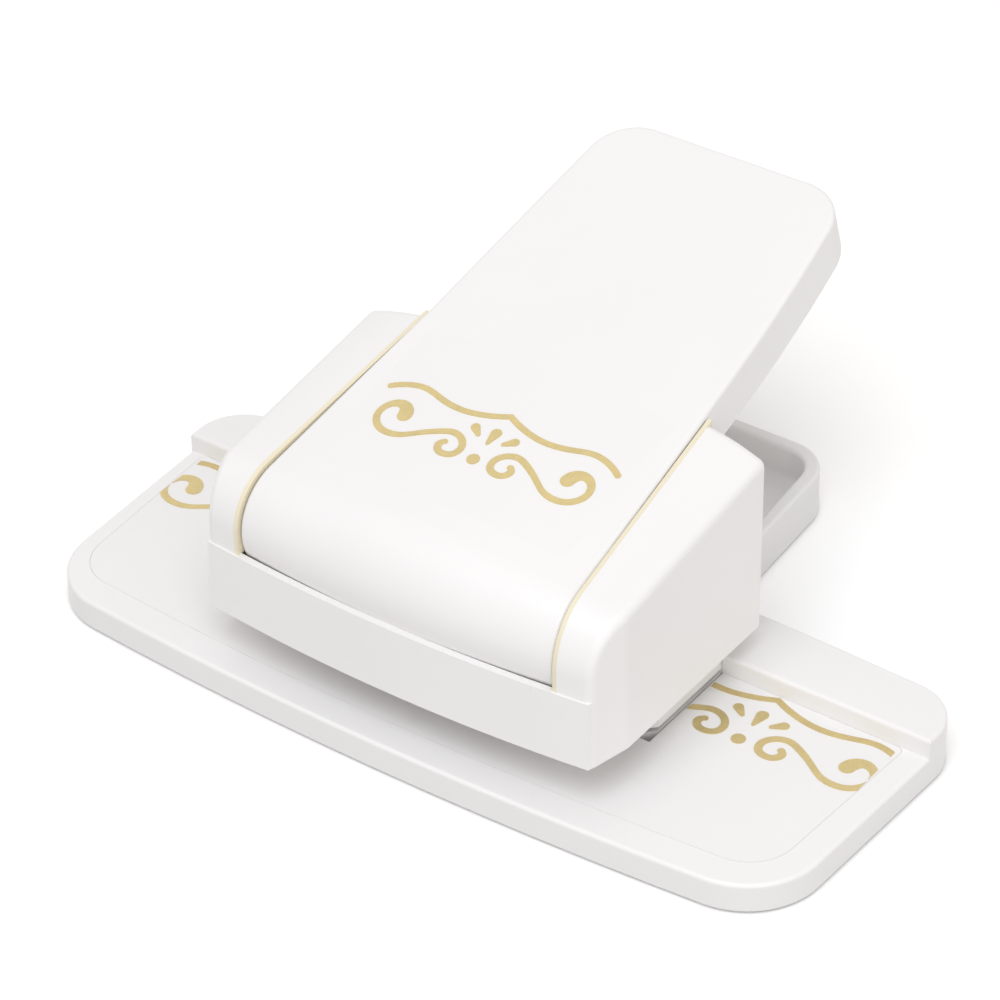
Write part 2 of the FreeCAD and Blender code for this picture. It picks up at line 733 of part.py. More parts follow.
LINE_SPINE = [(0.0, 12.5), (4.5, 10.7), (9.9, 9.85), (15.0, 10.6), (20.0, 11.8), (24.0, 11.0), (26.6, 9.6)]
LINE_HALF = 0.65
SCROLL_SPINE = [
    (7.7, 1.35, 0.7), (8.35, 0.25, 0.75), (7.5, -1.05, 0.72), (6.1, -1.35, 0.7), (4.4, -0.65, 0.72),
    (3.8, 1.15, 0.72), (4.65, 2.95, 0.7), (6.15, 3.95, 0.7), (7.9, 4.15, 0.7), (9.6, 3.55, 0.68),
    (13.5, 1.3, 0.62), (17.0, -0.85, 0.65), (19.2, -1.25, 0.7), (21.5, -0.85, 0.7), (23.3, 0.45, 0.72),
    (24.3, 2.35, 0.72), (24.1, 4.35, 0.75), (22.9, 5.85, 0.85), (21.2, 6.3, 1.05), (19.7, 5.35, 1.4),
    (19.1, 3.95, 1.5)]
DROPS = {"middle": ((0.0, 7.6), 1.12, (0.0, 4.6), 0.35),
         "left": ((-4.6, 7.2), 0.95, (-2.95, 5.75), 0.45),
         "right": ((4.6, 7.2), 0.95, (2.95, 5.75), 0.45)}
DOT_RADIUS = 1.3


def spline(points):
    curve = Part.BSplineCurve()
    curve.interpolate(points)
    return curve.toShape()


def tangents(points):
    """Unit directions along a row of points."""
    last = len(points) - 1
    return [(points[min(i + 1, last)] - points[max(i - 1, 0)]).normalize() for i in range(last + 1)]


def side_step(direction):
    return Vector(-direction.y, direction.x, 0)


def end_cap(first, tip, last):
    return Part.Arc(first, tip, last).toShape()


def band(spine, grow, mirror):
    """Ribbon of changing width with round ends."""
    points = [Vector(mirror * u, w, 0) for u, w, _ in spine]
    halves = [half + grow for _, _, half in spine]
    along = tangents(points)
    left = [p + side_step(t) * h for p, t, h in zip(points, along, halves)]
    right = [p - side_step(t) * h for p, t, h in zip(points, along, halves)]
    head = points[-1] + along[-1] * halves[-1]
    foot = points[0] - along[0] * halves[0]
    edges = [spline(left), end_cap(left[-1], head, right[-1]),
             spline(right[::-1]), end_cap(right[0], foot, left[0])]
    return Part.Face(Part.Wire(edges))


def wave_line(grow):
    """Ogee line: two mirrored arms that meet in a point."""
    half = LINE_HALF + grow
    points = [Vector(u, w, 0) for u, w in LINE_SPINE]
    along = tangents(points)
    mitre = half * along[0].Length / along[0].x
    upper = [points[0] + Vector(0, mitre, 0)]
    lower = [points[0] - Vector(0, mitre, 0)]
    for point, direction in zip(points[1:], along[1:]):
        upper.append(point + side_step(direction) * half)
        lower.append(point - side_step(direction) * half)
    tip = points[-1] + along[-1] * half

    def flip(point):
        return Vector(-point.x, point.y, 0)

    edges = [spline(upper), end_cap(upper[-1], tip, lower[-1]), spline(lower[::-1]),
             spline([flip(p) for p in lower]), end_cap(flip(lower[-1]), flip(tip), flip(upper[-1])),
             spline([flip(p) for p in upper[::-1]])]
    return Part.Face(Part.Wire(edges))


def drop(bulb, bulb_radius, tip, tip_radius, grow):
    """Two circles of different size and their outer tangents."""
    low = Vector(*bulb, 0)
    high = Vector(*tip, 0)
    big = bulb_radius + grow
    small = tip_radius + grow
    axis = high - low
    turn = math.acos((big - small) / axis.Length)
    base = math.atan2(axis.y, axis.x)
    first = Vector(math.cos(base + turn), math.sin(base + turn), 0)
    last = Vector(math.cos(base - turn), math.sin(base - turn), 0)
    out = Vector(axis).normalize()
    edges = [Part.LineSegment(low + first * big, high + first * small).toShape(),
             end_cap(high + first * small, high + out * small, high + last * small),
             Part.LineSegment(high + last * small, low + last * big).toShape(),
             end_cap(low + last * big, low - out * big, low + first * big)]
    return Part.Face(Part.Wire(edges))


def ornament(grow):
    """Every figure of the ornament by name, each one face."""
    figures = {"line": wave_line(grow),
               "scroll_left": band(SCROLL_SPINE, grow, -1),
               "scroll_right": band(SCROLL_SPINE, grow, 1)}
    for side, measures in DROPS.items():
        figures[f"drop_{side}"] = drop(*measures, grow)
    figures["dot"] = Part.Face(Part.Wire(Part.makeCircle(DOT_RADIUS + grow)))
    return figures


def raised(face, x, y, low, high):
    """Prism over a face moved to a place, between two heights."""
    return face.translated(Vector(x, y, low)).extrude(Vector(0, 0, high - low))


def freeform(shape, name):
    """Piece whose outline is drawn by Part's own curves."""
    obj = doc.addObject("Part::Feature", name)
    obj.Shape = shape
    return obj


def passages(name, gap, low, high):
    """Holes that the figures leave in a plate, wider than the punches by the gap."""
    prisms = [raised(face, 0, num(PATTERN_Y), num(low) - 0.5, num(high) + 0.5)
              for face in ornament(num(gap)).values()]
    return freeform(Part.makeCompound(prisms), name)


# Guide sheet on the deck and its printed ornament

deck_sheet_body = doc.addObject("PartDesign::Body", "sheet_body")
outline = body_sketch(deck_sheet_body, "sheet_edge", offset=f"{DECK} - Dims.sheet_thick")
sheet_outline(outline, d("sheet_gap"))
pad(deck_sheet_body, outline, d("sheet_thick"))
die_room = box("die_room", f"-({DIE_HALF} + Dims.sheet_die_gap)", f"{DIE_FRONT} - Dims.sheet_die_gap",
               f"{DECK} - 2 * Dims.sheet_thick", f"2 * ({DIE_HALF} + Dims.sheet_die_gap)",
               "Dims.die_reach + Dims.fence_depth", "4 * Dims.sheet_thick")
finish(cut("sheet_cut", deck_sheet_body, die_room), "deck_sheet")

PRINT_BASE = num(DECK)
PRINT_TOP = num(f"{DECK} + Dims.print_thick")
print_inner = num(f"{DIE_HALF} + 2 * Dims.sheet_die_gap")
print_outer = num(f"{base_half(PATTERN_Y)} - Dims.sheet_inset - Dims.sheet_die_gap")
print_reach = num("Dims.fence_depth + Dims.die_reach")
for side, sign in (("left", -1), ("right", 1)):
    shift = num(d("left_shift")) if sign < 0 else 0.0
    width = print_outer + shift - print_inner
    frame = Part.makeBox(width, 2 * print_reach, 1,
                         Vector(print_inner if sign > 0 else -print_inner - width,
                                num(PATTERN_Y) - print_reach, PRINT_BASE - 0.5))
    figures = []
    for face in ornament(0).values():
        place_x = sign * (num("Dims.repeat_pitch") + shift)
        prism = raised(face, place_x, num(PATTERN_Y), PRINT_BASE, PRINT_TOP)
        figures.extend(prism.common(frame).Solids)
    finish(freeform(Part.makeCompound(figures), f"deck_print_{side}"), f"deck_print_{side}")

# Die set: plate, spacer that stops the paper, guide block

die_blank = doc.addObject("PartDesign::Body", "die_blank")
outline = body_sketch(die_blank, "die_outline", offset=DIE_BASE)
draw(outline, [(f"-{DIE_HALF} + Dims.die_chamfer", DIE_FRONT), (f"{DIE_HALF} - Dims.die_chamfer", DIE_FRONT),
               (DIE_HALF, f"{DIE_FRONT} + Dims.die_chamfer"), (DIE_HALF, NECK_BACK),
               (f"-{DIE_HALF}", NECK_BACK), (f"-{DIE_HALF}", f"{DIE_FRONT} + Dims.die_chamfer")])
for x, y in NECK_SCREWS:
    ring(outline, x, y, "Dims.neck_screw + Dims.seat_gap")
pad(die_blank, outline, d("die_thick"))
die_plate = cut("die_cut", die_blank, passages("die_holes", d("punch_gap"), DIE_BASE, DECK))
finish(die_plate, "die_plate")

spacer = new_body("paper_stop")
outline = body_sketch(spacer, "stop_outline", offset=DECK)
draw(outline, trapezoid(FENCE, NECK_BACK, DIE_HALF, DIE_HALF))
for x, y in NECK_SCREWS:
    ring(outline, x, y, "Dims.neck_screw + Dims.seat_gap")
pad(spacer, outline, d("throat_slit"))

guide_blank = doc.addObject("PartDesign::Body", "guide_blank")
outline = body_sketch(guide_blank, "guide_outline", offset=SLIT_TOP)
draw(outline, [(f"-{DIE_HALF} + Dims.die_chamfer", DIE_FRONT), (f"{DIE_HALF} - Dims.die_chamfer", DIE_FRONT),
               (DIE_HALF, f"{DIE_FRONT} + Dims.die_chamfer"), (DIE_HALF, NECK_BACK),
               (f"-{DIE_HALF}", NECK_BACK), (f"-{DIE_HALF}", f"{DIE_FRONT} + Dims.die_chamfer")])
pad(guide_blank, outline, "Dims.throat_height - Dims.throat_slit")
bores = body_sketch(guide_blank, "guide_screw_holes", offset=SLIT_TOP)
for x, y in NECK_SCREWS:
    ring(bores, x, y, d("neck_screw"))
pocket(guide_blank, bores, "Dims.neck_screw_depth - Dims.die_thick - Dims.throat_slit + Dims.bore_rest", upward=True)
HEAD_SCREWS = [(f"({sign} * ({DIE_HALF} - Dims.head_screw_inset))", y)
               for sign in (-1, 1)
               for y in (f"({PATTERN_Y} - Dims.head_screw_front)", f"({PATTERN_Y} + Dims.head_screw_back)")]
POST_Y = f"({PRESS_Y} - Dims.post_setback)"
POSTS = [("left", "(-Dims.post_spread)"), ("right", "Dims.post_spread")]
bores = body_sketch(guide_blank, "head_screw_bores", offset=SLIT_TOP)
for x, y in HEAD_SCREWS:
    ring(bores, x, y, "Dims.head_screw + Dims.seat_gap")
pocket(guide_blank, bores, "Dims.throat_height - Dims.throat_slit", upward=True)
bores = body_sketch(guide_blank, "post_bores", offset=HEAD_BASE)
for _, x in POSTS:
    ring(bores, x, POST_Y, d("post_radius"))
pocket(guide_blank, bores, d("post_seat"))
sinks = [cone("head_screw_sink", "Dims.head_screw_head + Dims.seat_gap", "Dims.head_screw + Dims.seat_gap",
              "Dims.head_screw_head - Dims.head_screw", x, y, SLIT_TOP) for x, y in HEAD_SCREWS]
guide_block = cut("guide_cut", guide_blank, passages("guide_holes", d("punch_gap"), SLIT_TOP, HEAD_BASE), *sinks)
finish(guide_block, "guide_block")

for x, y in NECK_SCREWS:
    side = "left" if num(x) < 0 else "right"
    reach = "outer" if abs(num(x)) > 20 else "inner"
    parts = [cylinder("neck_screw_head", d("neck_screw_head"), d("neck_screw_head_height"), x, y, COVER_FACE),
             cylinder("neck_screw_shank", d("neck_screw"),
                      f"{DIE_BASE} - {COVER_FACE} + Dims.neck_screw_depth - Dims.neck_screw_head_height", x, y,
                      f"{COVER_FACE} + Dims.neck_screw_head_height")]
    finish(fuse("neck_screw", *parts), f"neck_screw_{side}_{reach}")
for x, y in HEAD_SCREWS:
    side = "left" if num(x) < 0 else "right"
    end = "front" if num(y) < num(PATTERN_Y) else "back"
    sunk_screw(f"head_screw_{side}_{end}", x, y, SLIT_TOP, d("head_screw"), d("head_screw_head"),
               "Dims.throat_height - Dims.throat_slit + Dims.head_screw_height")

# Head shell: cheeks, front wall with its lip, floor and back wall round the well

HEAD_SIDE = f"({HEAD_BACK} - Dims.head_side_depth)"
HEAD_FRONT = f"({HEAD_SIDE} - Dims.head_front_drop)"
CREST = f"({DECK} + Dims.cheek_back_height)"
BACK_WALL_TOP = f"({DECK} + Dims.back_wall_height)"
FACE = f"({PIVOT_Y} - Dims.cheek_radius)"
BOW_HALF = f"({HEAD_FRONT_HALF} - Dims.snug_gap)"
BOW_RADIUS = bow_radius(f"2 * {BOW_HALF}", "Dims.head_bow")
WELL_FRONT = (f"({FACE} - Dims.head_bow + Dims.lip_wall"
              f" + {well_half(FACE)} ^ 2 / (2 * {BOW_RADIUS}))")
CHEEK_HOLLOW_TOP = f"({PIVOT_Z} + Dims.cheek_hollow_rise)"
CHEEK_FRONT = f"({PIVOT_Y} + Dims.pin_radius + Dims.cheek_hollow_setback)"
CHEEK_BACK = f"({HEAD_BACK} - Dims.cheek_wall - 1)"


def back_at(z):
    """Place of the head's back face, which leans back a little, at a height."""
    return f"({HEAD_BACK} + Dims.head_back_lean * (({z}) - {HEAD_BASE}) / ({CREST} - {HEAD_BASE}))"


# Slope of the tangent from the crest to the nose arc
CREST_RUN = f"({HEAD_BACK} - {PIVOT_Y})"
CREST_RISE = f"({CREST} - {PIVOT_Z})"
CREST_DIRECT = f"sqrt({CREST_RUN} ^ 2 + {CREST_RISE} ^ 2)"
CHEEK_SLOPE = f"(atan({CREST_RISE} / {CREST_RUN}) - asin(Dims.cheek_radius / {CREST_DIRECT}))"

head_shell = new_body("head_shell")
outline = body_sketch(head_shell, "head_outline", offset=HEAD_BASE)
beyond = f"({HEAD_BACK} + 5)"
ahead = f"({HEAD_FRONT} - 10)"
AHEAD_HALF = (f"({HEAD_HALF} - ({HEAD_HALF} - {HEAD_FRONT_HALF})"
              f" * ({HEAD_SIDE} - {ahead}) / Dims.head_front_drop)")
draw(outline, [(f"-{AHEAD_HALF}", ahead), (AHEAD_HALF, ahead),
               (HEAD_HALF, HEAD_SIDE), (HEAD_HALF, beyond),
               (f"-{HEAD_HALF}", beyond), (f"-{HEAD_HALF}", HEAD_SIDE)])
block = pad(head_shell, outline, f"{CREST} - {HEAD_BASE} + 2")
block.setExpression("TaperAngle", "-Dims.head_draft")
doc.recompute()
side_cut = body_sketch(head_shell, "side_profile", "YZ_Plane")
low = f"({HEAD_BASE} - 1)"
high = f"({CREST} + 10)"
rough_face = f"({FACE} - Dims.face_spare)"
draw(side_cut, [(f"{ahead} - 1", low), (rough_face, low), (rough_face, high), (f"{ahead} - 1", high)])
pocket(head_shell, side_cut, f"4 * {HEAD_HALF}", symmetric=True)
back_cut = body_sketch(head_shell, "back_profile", "YZ_Plane")
draw(back_cut, [(back_at(low), low), (f"{beyond} + 1", low), (f"{beyond} + 1", high), (back_at(high), high)])
pocket(head_shell, back_cut, f"4 * {HEAD_HALF}", symmetric=True)


def side_bend_edge(edge):
    """The standing edges where the sides start to draw in towards the front."""
    size = edge.BoundBox
    return size.ZLength > 10 and abs(size.Center.y - num(HEAD_SIDE)) < 1 and abs(size.Center.x) > 30


round_edges(head_shell, d("head_side_bend"), side_bend_edge)

# Nose and convex top of the cheeks: three side profiles, the outer one lowest, joined by a smooth cut
NOSE_REACH = well_half(FACE)
CREST_REACH = well_half(HEAD_BACK)
INSIDE = f"({CREST_REACH} - 1)"
MIDDLE = f"({HEAD_HALF} - Dims.cheek_outer)"
OUTSIDE = f"({HEAD_HALF} + 1)"


def side_outline(reach, fall):
    """Side profile of the cut at a distance from the middle, as points and the radius of the nose."""
    radius = (f"(Dims.cheek_radius - Dims.cheek_nose_fall * ({reach} - {NOSE_REACH})"
              f" / ({HEAD_HALF} - {NOSE_REACH}))")
    crest = f"({CREST} - {fall})"
    run = f"({HEAD_BACK} - {PIVOT_Y})"
    rise = f"({crest} - {PIVOT_Z})"
    slope = f"(atan({rise} / {run}) - asin({radius} / sqrt({run} ^ 2 + {rise} ^ 2)))"
    touch = (f"({PIVOT_Y} - {radius} * sin({slope}))", f"({PIVOT_Z} + {radius} * cos({slope}))")
    points = [(f"{ahead} - 1", low), (FACE, low), (f"({PIVOT_Y} - {radius})", PIVOT_Z), touch,
              (beyond, f"({crest} + ({beyond} - {HEAD_BACK}) * tan({slope}))"), (beyond, high),
              (f"{ahead} - 1", high)]
    return points, radius


for sign in (1, -1):
    profiles = []
    for reach, fall in ((INSIDE, "0"), (MIDDLE, d("cheek_middle_fall")), (OUTSIDE, d("cheek_back_fall"))):
        points, radius = side_outline(reach, fall)
        profile = body_sketch(head_shell, "cheek_profile", "YZ_Plane", f"{sign} * {reach}")
        profiles.append(draw(profile, points, {2: (radius, -1)}))
    before = head_shell.Shape.Volume
    crown = head_shell.newObject("PartDesign::SubtractiveLoft", "Loft")
    crown.Profile = profiles[0]
    crown.Sections = profiles[1:]
    doc.recompute()
    if not head_shell.Shape.Volume < before:
        raise ValueError("the cheek's top was not cut")


def cheek_edge(edge):
    """Outer edges of the cheeks up the face, round the nose and along the slope."""
    size = edge.BoundBox
    outside = abs(size.Center.x) > num(DIE_HALF) and size.XLength < num("Dims.cheek_spread") / 2
    at_face = abs(size.YMin - num(FACE)) < 0.01
    on_top = size.ZMin > num(PIVOT_Z) - 0.1 and size.YLength > 1
    return outside and (at_face and size.ZLength > 10 or on_top)


def back_edge(edge):
    """Standing and upper edges of the cheeks' back faces."""
    size = edge.BoundBox
    at_back = all(abs(end.Point.y - num(back_at(end.Point.z))) < 0.02 for end in edge.Vertexes)
    upper = size.ZMin > num(f"{CREST} - 2 * Dims.cheek_back_fall") and size.XLength > 5
    return at_back and abs(size.Center.x) > num(CREST_REACH) and (size.ZLength > 10 or upper)


round_edges(head_shell, d("head_back_round"), back_edge)
round_edges(head_shell, d("cheek_round"), cheek_edge)

# Bowed front wall up to the lip
front_wall = body_sketch(head_shell, "front_wall_outline", offset=HEAD_BASE)
root_half = f"({BOW_HALF} + ({HEAD_HALF} - {HEAD_FRONT_HALF}) * Dims.wall_root / Dims.head_front_drop)"
draw(front_wall, trapezoid(FACE, f"{FACE} + Dims.wall_root", BOW_HALF, root_half), {0: (BOW_RADIUS, 1)})
wall = pad(head_shell, front_wall, f"{LIP} - {HEAD_BASE}")
wall.setExpression("TaperAngle", "-Dims.head_draft")
doc.recompute()

# Hollow cheeks with the bosses of the head screws; the well trims the bosses
for sign in (-1, 1):
    lean = f"(({CHEEK_HOLLOW_TOP} - {HEAD_BASE}) * tan(Dims.head_draft))"
    outer = f"({HEAD_HALF} - Dims.cheek_wall - {lean})"
    inner_front = f"({well_half(CHEEK_FRONT)} + Dims.cheek_wall)"
    inner_back = f"({well_half(CHEEK_BACK)} + Dims.cheek_wall)"
    corners = [(inner_front, CHEEK_FRONT), (outer, CHEEK_FRONT), (outer, CHEEK_BACK), (inner_back, CHEEK_BACK)]
    if sign < 0:
        corners = [(f"-{x}", y) for x, y in corners[::-1]]
    cheek = body_sketch(head_shell, "cheek_outline", offset=HEAD_BASE)
    draw(cheek, corners)
    pocket(head_shell, cheek, f"{CHEEK_HOLLOW_TOP} - {HEAD_BASE}", upward=True)
bosses = body_sketch(head_shell, "screw_bosses", offset=HEAD_BASE)
for x, y in HEAD_SCREWS:
    ring(bosses, x, y, "Dims.head_screw + Dims.boss_wall")
pad(head_shell, bosses, f"{CHEEK_HOLLOW_TOP} - {HEAD_BASE} + 0.5")
bores = body_sketch(head_shell, "screw_bores", offset=HEAD_BASE)
for x, y in HEAD_SCREWS:
    ring(bores, x, y, d("head_screw"))
pocket(head_shell, bores, "Dims.head_screw_height + 0.6", upward=True)

# The well, open at the top, in front above the lip and behind above the back wall
FRONT_OPEN = f"({HEAD_FRONT} - Dims.head_bow - 2)"
well = body_sketch(head_shell, "well_outline", offset=HEAD_FLOOR)
draw(well, trapezoid(WELL_FRONT, WELL_BACK, well_half(WELL_FRONT), well_half(WELL_BACK)),
     {0: (f"({BOW_RADIUS} - Dims.lip_wall)", 1)})
pocket(head_shell, well, f"{CREST} - {HEAD_FLOOR} + 5", upward=True)
mouth = body_sketch(head_shell, "mouth_outline", offset=LIP)
draw(mouth, trapezoid(FRONT_OPEN, WELL_BACK, well_half(FRONT_OPEN), well_half(WELL_BACK)))
pocket(head_shell, mouth, f"{CREST} - {LIP} + 5", upward=True)
exit_cut = body_sketch(head_shell, "exit_outline", offset=BACK_WALL_TOP)
draw(exit_cut, trapezoid(f"{WELL_BACK} - 2", f"{HEAD_BACK} + 2",
                         well_half(f"{WELL_BACK} - 2"), well_half(f"{HEAD_BACK} + 2")))
pocket(head_shell, exit_cut, f"{CREST} - {BACK_WALL_TOP} + 5", upward=True)
WINDOW_FRONT = f"({PATTERN_Y} - 3.4)"
WINDOW_BACK = f"({WELL_BACK} - 2)"
window = body_sketch(head_shell, "floor_window", offset=HEAD_FLOOR)
draw(window, trapezoid(WINDOW_FRONT, WINDOW_BACK, well_half(WINDOW_FRONT), well_half(WINDOW_BACK)))
pocket(head_shell, window, d("head_floor"))

# Seats of the pivot pin in the well's walls
pin_bore = body_sketch(head_shell, "pin_bore", "YZ_Plane")
ring(pin_bore, PIVOT_Y, PIVOT_Z, "Dims.pin_radius + Dims.pin_gap")
pocket(head_shell, pin_bore, f"2 * ({well_half(PIVOT_Y)} + Dims.pin_grip)", symmetric=True)

# Liners of the well, the pivot pin and the stops of the lever

LINER_LOW = f"({BACKING_TOP} + Dims.liner_foot)"
LINER_STEP = f"({PRESS_Y} - Dims.holder_depth / 2 - 2 * Dims.liner_foot)"
LINER_RADIUS = "(Dims.cheek_radius - Dims.liner_drop)"
LINER_TOUCH_Y = f"({PIVOT_Y} - {LINER_RADIUS} * sin({CHEEK_SLOPE}))"
LINER_TOUCH_Z = f"({PIVOT_Z} + {LINER_RADIUS} * cos({CHEEK_SLOPE}))"
LINER_BACK = back_at(CREST)
LINER_BACK_Z = f"({LINER_TOUCH_Z} + ({LINER_BACK} - {LINER_TOUCH_Y}) * tan({CHEEK_SLOPE}))"
liner_profile = free_sketch("liner_profile", ALONG_Y, "0", "x")
draw(liner_profile, [(f"{PIVOT_Y} - {LINER_RADIUS}", PIVOT_Z), (LINER_TOUCH_Y, LINER_TOUCH_Z),
                     (LINER_BACK, LINER_BACK_Z), (back_at(LINER_LOW), LINER_LOW), (LINER_STEP, LINER_LOW),
                     (LINER_STEP, LIP), (f"{PIVOT_Y} - {LINER_RADIUS}", LIP)],
     {0: (LINER_RADIUS, -1)})
liner_sides = extrude(liner_profile, f"2 * {HEAD_HALF}", "liner_sides", symmetric=True)
hole = cylinder("liner_hole", "Dims.pin_radius + Dims.pin_gap", f"2 * {HEAD_HALF}",
                f"-{HEAD_HALF}", PIVOT_Y, PIVOT_Z, Rotation(Vector(0, 1, 0), 90))
bored_sides = cut("liner_bored", liner_sides, hole)
for side, sign in (("left", -1), ("right", 1)):
    strip = free_sketch(f"liner_strip_{side}", offset=HEAD_BASE)
    front = f"({HEAD_FRONT} - 1)"
    back = f"({HEAD_BACK} + 2)"
    thin = "Dims.liner_thick"
    corners = [(f"{well_half(front)} - {thin}", front), (well_half(front), front),
               (well_half(back), back), (f"{well_half(back)} - {thin}", back)]
    if sign < 0:
        corners = [(f"-({x})", y) for x, y in corners[::-1]]
    draw(strip, corners)
    wall = extrude(strip, "2 * Dims.cheek_back_height", f"liner_wall_{side}")
    finish(common(f"liner_cut_{side}", wall, bored_sides), f"side_liner_{side}")

PIN_HALF = f"({well_half(PIVOT_Y)} + Dims.pin_grip - 0.2)"
finish(cylinder("pin", d("pin_radius"), f"2 * {PIN_HALF}", f"-{PIN_HALF}", PIVOT_Y, PIVOT_Z,
                Rotation(Vector(0, 1, 0), 90)), "pivot_pin")
STOP_Y = f"(({WELL_BACK} + {HEAD_BACK}) / 2)"
STOPS = [("left", "(-Dims.stop_spread)"), ("right", "Dims.stop_spread")]
for side, x in STOPS:
    finish(box("stop", f"{x} - Dims.stop_radius", WELL_BACK, BACK_WALL_TOP,
               "2 * Dims.stop_radius", d("head_back_wall"), d("stop_height")), f"stop_pad_{side}")

# Lever: three side profiles lofted across, so that its top is crowned

SLOPE_EDGE = "(Dims.edge_slope * 1 deg)"
SLOPE_MIDDLE = "(Dims.middle_slope * 1 deg)"
BEND_Y = f"({PIVOT_Y} + Dims.bend_reach)"
END_Z = f"({PIVOT_Z} + Dims.lever_end_rise)"
BEND_EDGE_Z = f"({PIVOT_Z} + Dims.nose_radius / cos({SLOPE_EDGE}) + Dims.bend_reach * tan({SLOPE_EDGE}))"
SKIRT_BEND_Z = f"({BEND_EDGE_Z} - Dims.lever_bend_skirt)"
SKIRT_END_Z = f"({END_Z} - Dims.lever_end_skirt)"
SKIRT_TILT = f"(atan(({SKIRT_END_Z} - {SKIRT_BEND_Z}) / ({LEVER_END} - {BEND_Y})) + 4 * Dims.skirt_sag / ({LEVER_END} - {BEND_Y}) * 1 rad)"
LOFT_END = f"({LEVER_END} + Dims.grip_over)"
SKIRT_LOFT_Z = f"({SKIRT_END_Z} + Dims.grip_over * tan({SKIRT_TILT}))"
SKIRT_CHORD = f"sqrt(({LOFT_END} - {BEND_Y}) ^ 2 + ({SKIRT_LOFT_Z} - {SKIRT_BEND_Z}) ^ 2)"
SKIRT_KNEE = [f"({PIVOT_Y} + Dims.knee_reach)", f"({PIVOT_Z} - Dims.knee_drop)"]


def nose_point(radius, slope):
    """Where the slope leaves the nose arc."""
    return f"({PIVOT_Y} - {radius} * sin({slope}))", f"({PIVOT_Z} + {radius} * cos({slope}))"


def top_line(radius, slope, extra):
    """Nose, slope and long curve of the lever's top, from front to back."""
    reach = f"({radius} + {extra})"
    touch = nose_point(reach, slope)
    bend = (BEND_Y, f"({PIVOT_Z} + {reach} / cos({slope}) + Dims.bend_reach * tan({slope}))")
    reach_back = f"({LEVER_END} - {bend[0]})"
    leave = f"(2 * atan(({END_Z} + {extra} - {bend[1]}) / {reach_back}) - {slope})"
    back = (LOFT_END, f"({END_Z} + {extra} + Dims.grip_over * tan({leave}))")
    run = f"({back[0]} - {bend[0]})"
    rise = f"({back[1]} - {bend[1]})"
    chord = f"sqrt({run} ^ 2 + {rise} ^ 2)"
    curve = f"({chord} / (2 * sin(atan({rise} / {run}) - {slope})))"
    return touch, bend, back, reach, curve


def outer_profile(name, offset, radius, slope, extra="0"):
    """Side profile of the lever's outside at a place across it."""
    touch, bend, back, reach, curve = top_line(radius, slope, extra)
    sketch = free_sketch(name, ALONG_Y, offset, "x")
    low = (f"({PIVOT_Y} - 0.56 * {reach})", f"({PIVOT_Z} - sqrt(1 - 0.56 ^ 2) * {reach})")
    return draw(sketch, [low, touch, bend, back, (LOFT_END, SKIRT_LOFT_Z),
                         (BEND_Y, SKIRT_BEND_Z), SKIRT_KNEE],
                {0: (reach, -1), 2: (curve, 1), 4: (bow_radius(SKIRT_CHORD, "Dims.skirt_sag"), -1)})


def inner_profile(name, offset, radius, slope):
    """The same for the hollow, left open below."""
    touch, bend, back, reach, curve = top_line(radius, slope, "(-Dims.lever_wall)")
    low = (f"({PIVOT_Y} - 0.64 * {reach})", f"({PIVOT_Z} - sqrt(1 - 0.64 ^ 2) * {reach})")
    below = f"({PIVOT_Z} - 2 * Dims.cheek_radius)"
    sketch = free_sketch(name, ALONG_Y, offset, "x")
    return draw(sketch, [low, touch, bend, back, (LOFT_END, below), (low[0], below)],
                {0: (reach, -1), 2: (curve, 1)})


def crowned(name, profile, *extra):
    """Loft over the two edges and the middle of the lever."""
    middle = "(Dims.nose_radius + Dims.nose_crown)"
    side = f"({lever_half(LEVER_FRONT)} + 0.5)"
    sections = [profile(f"{name}_left", f"-{side}", "Dims.nose_radius", SLOPE_EDGE, *extra),
                profile(f"{name}_middle", "0", middle, SLOPE_MIDDLE, *extra),
                profile(f"{name}_right", side, "Dims.nose_radius", SLOPE_EDGE, *extra)]
    loft = doc.addObject("Part::Loft", name)
    loft.Sections = sections
    loft.Solid = True
    return loft


GRIP_TILT = "(Dims.grip_tilt * 1 deg)"
GRIP_START = f"({HEAD_BACK} + Dims.grip_start)"
GRIP_CHORD = f"({LEVER_END} - Dims.lever_corner - {GRIP_START})"


def lever_level(name, level, inset, end_inset):
    """Outline of the lever on a plane along the grip, at a height above the rim's line.

    Inside the head the sides stand upright; behind it they flare outward and down.
    """
    flare = f"(Dims.grip_flare * ({level}))"
    front = f"({LEVER_FRONT} - 2)"
    back = f"({LEVER_END} - {end_inset} - {flare})"
    corner = f"(Dims.lever_corner - {inset} - {flare})"

    def along(y):
        return f"((({y}) - {LEVER_END} + ({level}) * sin({GRIP_TILT})) / cos({GRIP_TILT}))"

    back_half = f"({lever_half(LEVER_END)} - {inset} - {flare})"
    start_half = f"({lever_half(GRIP_START)} - {inset})"
    front_half = f"({lever_half(front)} - {inset})"
    corner_y = f"({along(back)} - {corner})"
    right = [(front_half, along(front)), (start_half, along(GRIP_START)), (back_half, corner_y),
             (f"({back_half} - {corner})", along(back))]
    points = right + [(f"-{x}", y) for x, y in right[::-1]]
    bow = (bow_radius(GRIP_CHORD, d("grip_bow")), 1)
    sketch = free_sketch(name, Rotation(Vector(1, 0, 0), num(d("grip_tilt"))))
    sketch.setExpression("Placement.Base.y", f"{LEVER_END} - ({level}) * sin({GRIP_TILT})")
    sketch.setExpression("Placement.Base.z", f"{END_Z} + ({level}) * cos({GRIP_TILT})")
    return draw(sketch, points, {1: bow, 2: (corner, 1), 4: (corner, 1), 5: bow})


